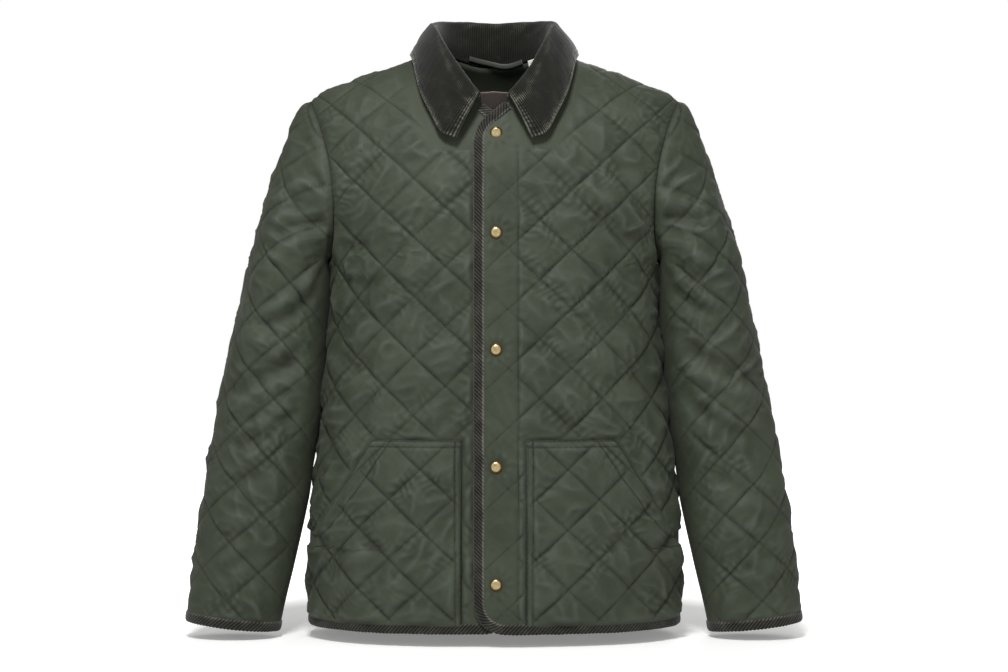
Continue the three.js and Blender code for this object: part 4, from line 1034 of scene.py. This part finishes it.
def edge_path():
    """The bound edge's middle: down the upper front, round the hem, and up the lower front."""
    half = BINDING / 2
    x, z = front_edge_path(half, 3.0)
    turn, rise = on_front(x, z)
    front_turn = np.linspace(turn[-1], math.pi / 2, 120)[1:-1]
    front_rise = half + 0 * front_turn
    back_turn = np.linspace(math.pi / 2, -math.pi / 2, 200)
    flip = np.stack([np.sign(back_turn), 1 + 0 * back_turn, 1 + 0 * back_turn], -1)
    behind = wall_middle(np.abs(back_turn), half + 0 * back_turn, 1, 0)
    upper = [wall_middle(turn, rise, -1, 1), wall_middle(front_turn, front_rise, -1, 1)]
    lower = [wall_middle(front_turn[::-1], front_rise, -1, -1), wall_middle(turn[::-1], rise[::-1], -1, -1)]
    mirror = np.array([-1.0, 1, 1])
    parts = upper + [[k * flip for k in behind]] + [[k * mirror for k in part] for part in lower]
    return np.concatenate([p for p, _ in parts]), np.concatenate([n for _, n in parts])


edge_mesh = folded_strip("edge_strip", *edge_path(), 1.2, False, 160)
bound_edge = piece(edge_mesh, [BINDING_CORD], "edge_binding")


def build_cuff(name, sign):
    """A cuff's strip, round the end of its sleeve. The path turns so that the fold is at the sleeve's end."""
    angle = np.linspace(0, 2 * math.pi, 181)[:-1]
    share = 1 - BINDING / 2 / SLEEVE_LENGTH
    e = 0.01
    p = sleeve(angle, share + 0 * angle)
    around = sleeve(angle + e, share + 0 * angle) - sleeve(angle - e, share + 0 * angle)
    down = sleeve(angle, share + e / 4 + 0 * angle) - sleeve(angle, share - e / 4 + 0 * angle)
    normal = unit(np.cross(around, down))
    normal = normal * np.sign(np.sum(normal * (p - p.mean(0)), -1).mean())
    p = p - normal * WALL / 2
    mirror = np.array([sign, 1.0, 1.0])
    p, normal = p * mirror, normal * mirror
    rise = np.cross(normal, np.roll(p, -1, 0) - p)[:, 2].mean()
    if rise < 0:
        p, normal = p[::-1], normal[::-1]
    return folded_strip(name, p, normal, 1.0, True, 170 + sign)


for name, sign, node in (
        ("cuff_strip_left", 1, "cuff_binding_left"), ("cuff_strip_right", -1, "cuff_binding_right")):
    cuff = piece(build_cuff(name, sign), [BINDING_CORD], node)


# Collar: two layers of cord sewn round their edge and turned, worn with its fall folded over. The stand is
# sewn into the neckline, and the worn edges are pale, with rows of stitching that draw them up.
COLLAR_HALF = 1.4
COLLAR = np.array([  # angle from centre front, fold x y z, outer edge x y z, radius of the roll
    (12, 19, -96, -42, 45, -107.5, -96, 2.2), (16.5, 25, -93.5, -34, 62, -105.5, -90, 2.6),
    (30, 42, -84, -10, 74, -97, -70, 3.2),
    (50, 61, -63, 22, 90, -77, -36, 3.6), (70, 72.5, -38, 44, 100, -43, 3, 3.8),
    (95, 77.5, -5, 56, 104, 5, 16, 4), (125, 67, 32, 63, 86, 51, 3, 4),
    (150, 42, 54, 65, 51, 70, 0, 4), (180, 0, 62, 65, 0, 78, -2, 4),
])
COLLAR_COLUMNS = 4 * 66 + 1
COLLAR_ROWS = 4 * 17 + 1
COLLAR_CORD = corduroy("collar_needlecord", "#6f6e62", "#23241d", "#080906", 2.6, False)


def neckline(psi, inset):
    """A place on the neckline at an angle from centre front, found on the body by halving."""
    x = (NECK["half_x"] - inset) * np.sin(psi)
    y = NECK["y"] - (NECK["half_y"] - inset) * np.cos(psi)
    side = np.where(y < MIDDLE_Y, -1, 1)
    low, high = np.full(x.shape, CHEST), through(RIDGE, 1, np.abs(x))
    for _ in range(30):
        z = (low + high) / 2
        outside = np.abs(body_depth(x, z, side) - MIDDLE_Y) > np.abs(y - MIDDLE_Y)
        low, high = np.where(outside, z, low), np.where(outside, high, z)
    return np.stack([x, y, low], -1)


def collar_stations(psi):
    """Eight places across the collar at each angle: neck seam, stand, either side of the fold, and the
    fall."""
    degrees = np.degrees(psi)
    fold = np.stack([through(COLLAR, k, degrees) for k in (1, 2, 3)], -1)
    edge = np.stack([through(COLLAR, k, degrees) for k in (4, 5, 6)], -1)
    roll = through(COLLAR, 7, degrees)[:, None]
    out = np.stack([np.sin(psi), -np.cos(psi), 0 * psi], -1)
    drop = np.array([0, 0, 1.0]) * roll
    seam = neckline(psi, COLLAR_HALF + 2 * SEAM) - np.array([0, 0, 2.0])
    rising, falling = fold - out * roll - drop, fold + out * roll - drop
    stand = seam * 0.6 + rising * 0.4 - out * 3.5
    fall = lambda s: falling * (1 - s) + edge * s + out * 3 * math.sin(math.pi * s)
    return np.stack([seam, stand, rising, fold, falling, fall(0.33), fall(0.67), edge])


def build_collar():
    """The collar's middle surface is a smooth curve through the eight places at each angle. Half of the
    thickness goes to each side and runs out at the free edges, which are puckered along their stitching."""
    end = math.radians(COLLAR[0, 0])
    turn = np.linspace(end, math.pi, (COLLAR_COLUMNS - 1) // 2 + 1)
    stations = collar_stations(turn)
    middle = np.empty((COLLAR_ROWS, len(turn), 3))
    up = np.empty((COLLAR_ROWS, len(turn)))
    for c in range(len(turn)):
        rows = np.column_stack([lengths(stations[:, c]), stations[:, c]])
        up[:, c] = np.linspace(0, rows[-1, 0], COLLAR_ROWS)
        for k in (1, 2, 3):
            middle[:, c, k - 1] = through(rows, k, up[:, c])
    middle = np.concatenate([middle[:, :-1], middle[:, ::-1] * np.array([-1.0, 1, 1])], 1)
    up = np.concatenate([up[:, :-1], up[:, ::-1]], 1)
    length = np.linalg.norm(np.diff(middle, axis=1), axis=-1)
    u = np.concatenate([np.zeros((COLLAR_ROWS, 1)), np.cumsum(length, 1)], 1)
    wales = (u - u[:, (COLLAR_COLUMNS - 1) // 2][:, None])[30][None, :] + 0 * u
    normal = unit(np.cross(np.gradient(middle, axis=1), np.gradient(middle, axis=0)))
    if normal[-8, (COLLAR_COLUMNS - 1) // 2, 1] < 0:
        normal = -normal
    end_gap = np.minimum(u, u[:, -1:] - u)
    edge_gap = np.minimum(up[-1:] - up, np.where(up > 20, end_gap, 99))
    thin = 0.35 + 0.65 * ease(np.minimum(edge_gap, up) / 2.2)
    run = np.where(up[-1:] - up < end_gap, u, up)
    pucker = 0.55 * np.sin(2 * math.pi * run / 6.5 + 2.5 * rumple(run, edge_gap, 20, 200))
    band = bell(np.maximum(edge_gap - 2, 0), 6.5) * ease(edge_gap / 1.5)
    stitched = np.minimum(np.abs(edge_gap - 3.2), np.abs(edge_gap - 8.5))
    soft = 1.7 * rumple(u, up, 43, 201) + 0.8 * rumple(u, up, 19, 202)
    soft = soft * ease(up / 12) * ease(edge_gap / 6)
    relief = pucker * band - 0.45 * bell(stitched, 1.0) + 0.10 * np.sin(2 * math.pi * wales / 4.0)
    outer = middle + normal * (COLLAR_HALF * thin + relief * ease(edge_gap / 1.0) + soft)[..., None]
    inner = middle + normal * (-COLLAR_HALF * thin + soft)[..., None]
    worn = 0.5 + 0.65 * bell(edge_gap, 6.0) + 0.12 * rumple(u, up, 11, 203)
    fold_gap = np.abs(up - 0.42 * up[-1:])
    worn = worn + 0.3 * bell(fold_gap, 5.0) + 0.3 * band * np.sin(
        2 * math.pi * (run + 1.2 * edge_gap) / 5.4 + 7 * rumple(run, edge_gap, 11, 204))
    rings = np.concatenate([outer, inner[::-1]], 0).transpose(1, 0, 2)
    over = np.concatenate([wales, wales[::-1]], 0).T
    upward = np.concatenate([up, up[::-1]], 0).T
    shade = np.concatenate([worn, 0.5 + 0 * worn], 0).T
    return loop_mesh("collar_fall", rings, over, upward, shade, False)


collar = piece(build_collar(), [COLLAR_CORD], "collar")


# Neck: a narrow woven tape finishes the neckline between the collar's ends. Inside, a loop of the outer
# cloth hangs across the nape with its ends in the seam, and a small plain woven label sits beside it.
def woven(name, colour, pale, scale):
    """Woven cotton tape or label: matt, with a fine crossing of threads that shows as a light mottle, and
    paler along its upper edge."""
    material, tree, shader, place = new_material(name)
    threads = worked(tree, "MULTIPLY", noise(tree, place, scale, 2.0), 0.14)
    share = worked(tree, "ADD", threads, attribute(tree, "worn"), use_clamp=True)
    finished(tree, shader, mixed(tree, share, linear(colour), linear(pale)), Roughness=0.9)
    return material


def band(name, points, normals, half_width, half_thick, rounding):
    """A closed flat band along a path, with rounded edges: a superellipse section carried along it."""
    ahead = unit(np.gradient(points, axis=0))
    across = unit(np.cross(normals, ahead))
    out = np.cross(ahead, across)
    turn = np.linspace(0, 2 * math.pi, 20, endpoint=False)
    a = np.sign(np.cos(turn)) * np.abs(np.cos(turn)) ** rounding * half_width
    b = np.sign(np.sin(turn)) * np.abs(np.sin(turn)) ** rounding * half_thick
    rings = points[:, None] + across[:, None] * a[None, :, None] + out[:, None] * b[None, :, None]
    over, up = np.broadcast_arrays(lengths(points)[:, None], np.arange(len(turn)))
    from_top = rings[..., 2].max(1, keepdims=True) - rings[..., 2]
    return loop_mesh(name, rings, over, up, 1 - ease((from_top - 0.5) / 0.8), False)


TAPE = {"width": 7.0, "shown": 22.0, "thick": 1.8, "arch": 2.5}  # it goes on down behind the lap
tape_reach = math.radians(COLLAR[0, 0] - 0.4)
psi = np.linspace(-tape_reach, tape_reach, 60)
tape_line = neckline(np.abs(psi), COLLAR_HALF + 2 * SEAM)
tape_line[:, 0] *= np.sign(psi)
tape_line[:, 2] += TAPE["arch"] * np.cos(psi / tape_reach * math.pi / 2) + (TAPE["width"] - TAPE["shown"]) / 2
tape_mesh = band("throat_tape", tape_line, np.stack([np.sin(psi), -np.cos(psi), 0 * psi], -1),
                 TAPE["shown"] / 2, TAPE["thick"] / 2, 0.5)
tape = piece(tape_mesh, [woven("woven_cotton_tape", "#150c09", "#7d7263", 700.0)], "neck_tape")

LOOP_SAG = np.array([  # angle from centre front, drop
    (153, -5), (160, -6.2), (168, -7), (178, -5.5), (188, -2), (199, -0.3), (204, 0),
])


def inside_collar(degrees, across, off):
    """A place against the inside of the collar's stand, and the direction into the neck."""
    psi = np.radians(np.where(degrees > 180, 360 - degrees, degrees))
    sign = np.where(degrees > 180, -1.0, 1.0)
    seam, stand = collar_stations(psi)[:2]
    place = seam * (1 - across) + stand * across
    inward = np.stack([-np.sin(psi), np.cos(psi), 0 * psi], -1)
    place = place + inward * off
    place[:, 0] *= sign
    inward[:, 0] *= sign
    return place, -inward


loop_degrees = np.linspace(204, 153, 70)
loop_line, loop_normal = inside_collar(loop_degrees, 0.3, COLLAR_HALF + 2.2)
loop_line[:, 2] += through(LOOP_SAG, 1, loop_degrees)
loop_mesh_made = band("hang_loop", loop_line, loop_normal, 3.25, 1.1, 0.7)
hang_loop = piece(loop_mesh_made, [LINING], "hanger_loop")

label_place, label_out = inside_collar(np.linspace(146.5, 139.5, 12), 0.3, COLLAR_HALF + 2.4)
label_place[:, 2] -= 10.0
label_mesh = band("neck_label", label_place, label_out, 4.0, 0.35, 0.35)
label = piece(label_mesh, [woven("woven_satin_label", "#d9d9d2", "#f2f2ec", 900.0)], "size_label")


# Snaps: five pressed brass caps with a rolled rim, set through both fronts. They are aged, so the brass is
# warm and a little uneven, and the dome shows soft highlights.
def aged_brass():
    """Lacquered brass, brushed and then worn: warm yellow metal, duller in patches, with a painted dark
    reflection at the rim.
    """
    material, tree, shader, place = new_material("aged_brass")
    wear = noise(tree, place, 320.0, 4.0)
    colour = mixed(tree, wear, linear("#a08758"), linear("#e0cfa2"))
    # The rim attribute mixes in a painted dark reflection on the rolled rim.
    finished(tree, shader, mixed(tree, attribute(tree, "rim"), colour, linear("#5f4a22")), Metallic=0.85)
    tree.links.new(ranged(tree, wear, 0.0, 1.0, 0.3, 0.5), shader.inputs["Roughness"])
    return material


BRASS = aged_brass()
SNAP_STAND = 0.35  # gap between the front and a cap's foot
SNAP_PROFILE = np.array([  # radius, height over the cloth
    (0, 3.4), (2.2, 3.3), (4.2, 2.9), (5.5, 2.2), (6.0, 1.75), (6.25, 1.5), (6.55, 1.62), (6.95, 1.5),
    (7.35, 1.0),
    (7.4, 0.5), (7.1, 0.0), (0, 0.0),
])


def build_snap(name, middle, tilt):
    """A cap turned about its axis from a profile, tilted as the front is there."""
    knots = np.column_stack([np.arange(len(SNAP_PROFILE) - 1), SNAP_PROFILE[:-1]])
    at = np.linspace(0, len(knots) - 1, 41)[1:]
    radius, high = through(knots, 1, at), through(knots, 2, at)
    turn = np.linspace(0, 2 * math.pi, 56, endpoint=False)
    rings = np.stack([
        radius[:, None] * np.cos(turn), -high[:, None] + 0 * turn, radius[:, None] * np.sin(turn)], -1)
    count = rings.shape[0] * rings.shape[1]
    points = np.concatenate([rings.reshape(-1, 3), [[0, -SNAP_PROFILE[0, 1], 0], [0, 0, 0]]])
    c, s = math.cos(tilt), math.sin(tilt)
    points = points @ np.array([[1, 0, 0], [0, c, s], [0, -s, c]])
    ids = np.arange(count).reshape(rings.shape[:2])
    ids = np.concatenate([ids, ids[:, :1]], 1)
    faces = np.stack([ids[:-1, :-1], ids[:-1, 1:], ids[1:, 1:], ids[1:, :-1]], -1).reshape(-1, 4).tolist()
    faces += [[count, int(b), int(a)] for a, b in zip(ids[0, :-1], ids[0, 1:])]
    faces += [[count + 1, int(a), int(b)] for a, b in zip(ids[-1, :-1], ids[-1, 1:])]
    # Share of the painted dark reflection: full on the rolled rim and none on the dome.
    rim = np.concatenate([np.repeat(ease((radius - 5.2) / 0.9), len(turn)), [0, 1]])
    return closed_mesh(name, points + middle, faces, {"rim": rim})


for k, z in enumerate(SNAP_Z):
    turn, rise = on_front(np.array([SNAP_X]), np.array([z]))
    place, normal = wall_middle(turn, rise, -1, 1)
    foot = place[0] + normal[0] * (WALL / 2 + SNAP_STAND)
    tilt = math.asin(normal[0, 2])
    piece(build_snap(f"brass_snap_{k + 1}", foot, tilt), [BRASS], f"snap_{k + 1}")


# Studio: a plain pale floor just under the hem, soft even light from large panels, and a camera level with
# the jacket's middle, where the photographer's was.
def lit_card(name, colour):
    """A matt white sweep that glows to the camera away from the jacket, so that only near shadows show on
    it."""
    material, tree, shader, place = new_material(name)
    plan = add_node(tree, "ShaderNodeVectorMath", {0: place, 1: (1.0, 1.0, 0.0)}, operation="MULTIPLY")
    far = add_node(tree, "ShaderNodeVectorMath", {0: plan.outputs[0]}, operation="LENGTH").outputs["Value"]
    seen = add_node(tree, "ShaderNodeLightPath").outputs["Is Camera Ray"]
    glow = worked(tree, "MULTIPLY", ranged(tree, far, 0.37, 0.5, 0.25, 1.0), seen)
    tree.links.new(glow, shader.inputs["Emission Strength"])
    shader.inputs["Base Color"].default_value = linear(colour)
    shader.inputs["Roughness"].default_value = 0.9
    shader.inputs["Emission Color"].default_value = linear(colour)
    return material


FLOOR_Z = -0.706
floor_mesh = bpy.data.meshes.new("studio_floor")
FLOOR_REACH = 9.0
corners = [(a * FLOOR_REACH, b * FLOOR_REACH, FLOOR_Z) for a, b in ((-1, -1), (1, -1), (1, 1), (-1, 1))]
floor_mesh.from_pydata(corners, [], [(0, 1, 2, 3)])
floor_mesh.materials.append(lit_card("matt_card", "#f6f6f5"))
floor = bpy.data.objects.new("studio_floor", floor_mesh)
bpy.context.scene.collection.objects.link(floor)
floor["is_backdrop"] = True

world = bpy.data.worlds.new("studio")
bpy.context.scene.world = world
world.use_nodes = True
seen = add_node(world.node_tree, "ShaderNodeLightPath").outputs["Is Camera Ray"]
strength = ranged(world.node_tree, seen, 0.0, 1.0, 0.26, 1.0)
backdrop = world.node_tree.nodes["Background"]
backdrop.inputs["Color"].default_value = linear("#ffffff")
world.node_tree.links.new(strength, backdrop.inputs["Strength"])
bpy.context.scene.view_settings.view_transform = "Standard"


def softbox(name, place, aim, size, watts):
    """A square area light that looks at a point."""
    data = bpy.data.lights.new(name, "AREA")
    data.size, data.energy = size, watts
    lamp = bpy.data.objects.new(name, data)
    lamp.location = place
    direction = Vector(aim) - Vector(place)
    lamp.rotation_euler = direction.to_track_quat("-Z", "Y").to_euler()
    bpy.context.scene.collection.objects.link(lamp)


softbox("key", (-0.25, -1.6, 1.8), (0, 0, -0.35), 0.6, 62)
softbox("fill", (1.7, -2.1, 0.4), (0, 0, -0.35), 1.4, 7)
softbox("fill_left", (-1.7, -2.1, 0.4), (0, 0, -0.35), 1.4, 7)
softbox("back", (0.9, 2.4, 1.2), (0, 0, -0.3), 1.4, 22)

lens = bpy.data.cameras.new("camera")
lens.sensor_width = 36.0
lens.lens = lens.sensor_width * 2080 / 1008  # the photo's distance in pixels over its width
camera = bpy.data.objects.new("camera", lens)
camera.location = (0.0121, -2.6, -0.334)
camera.rotation_euler = (math.pi / 2, 0, 0)
bpy.context.scene.collection.objects.link(camera)
bpy.context.scene.camera = camera

sizes = {"cad": [list(corner) for corner in cad_box], "visual": [list(corner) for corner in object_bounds()]}
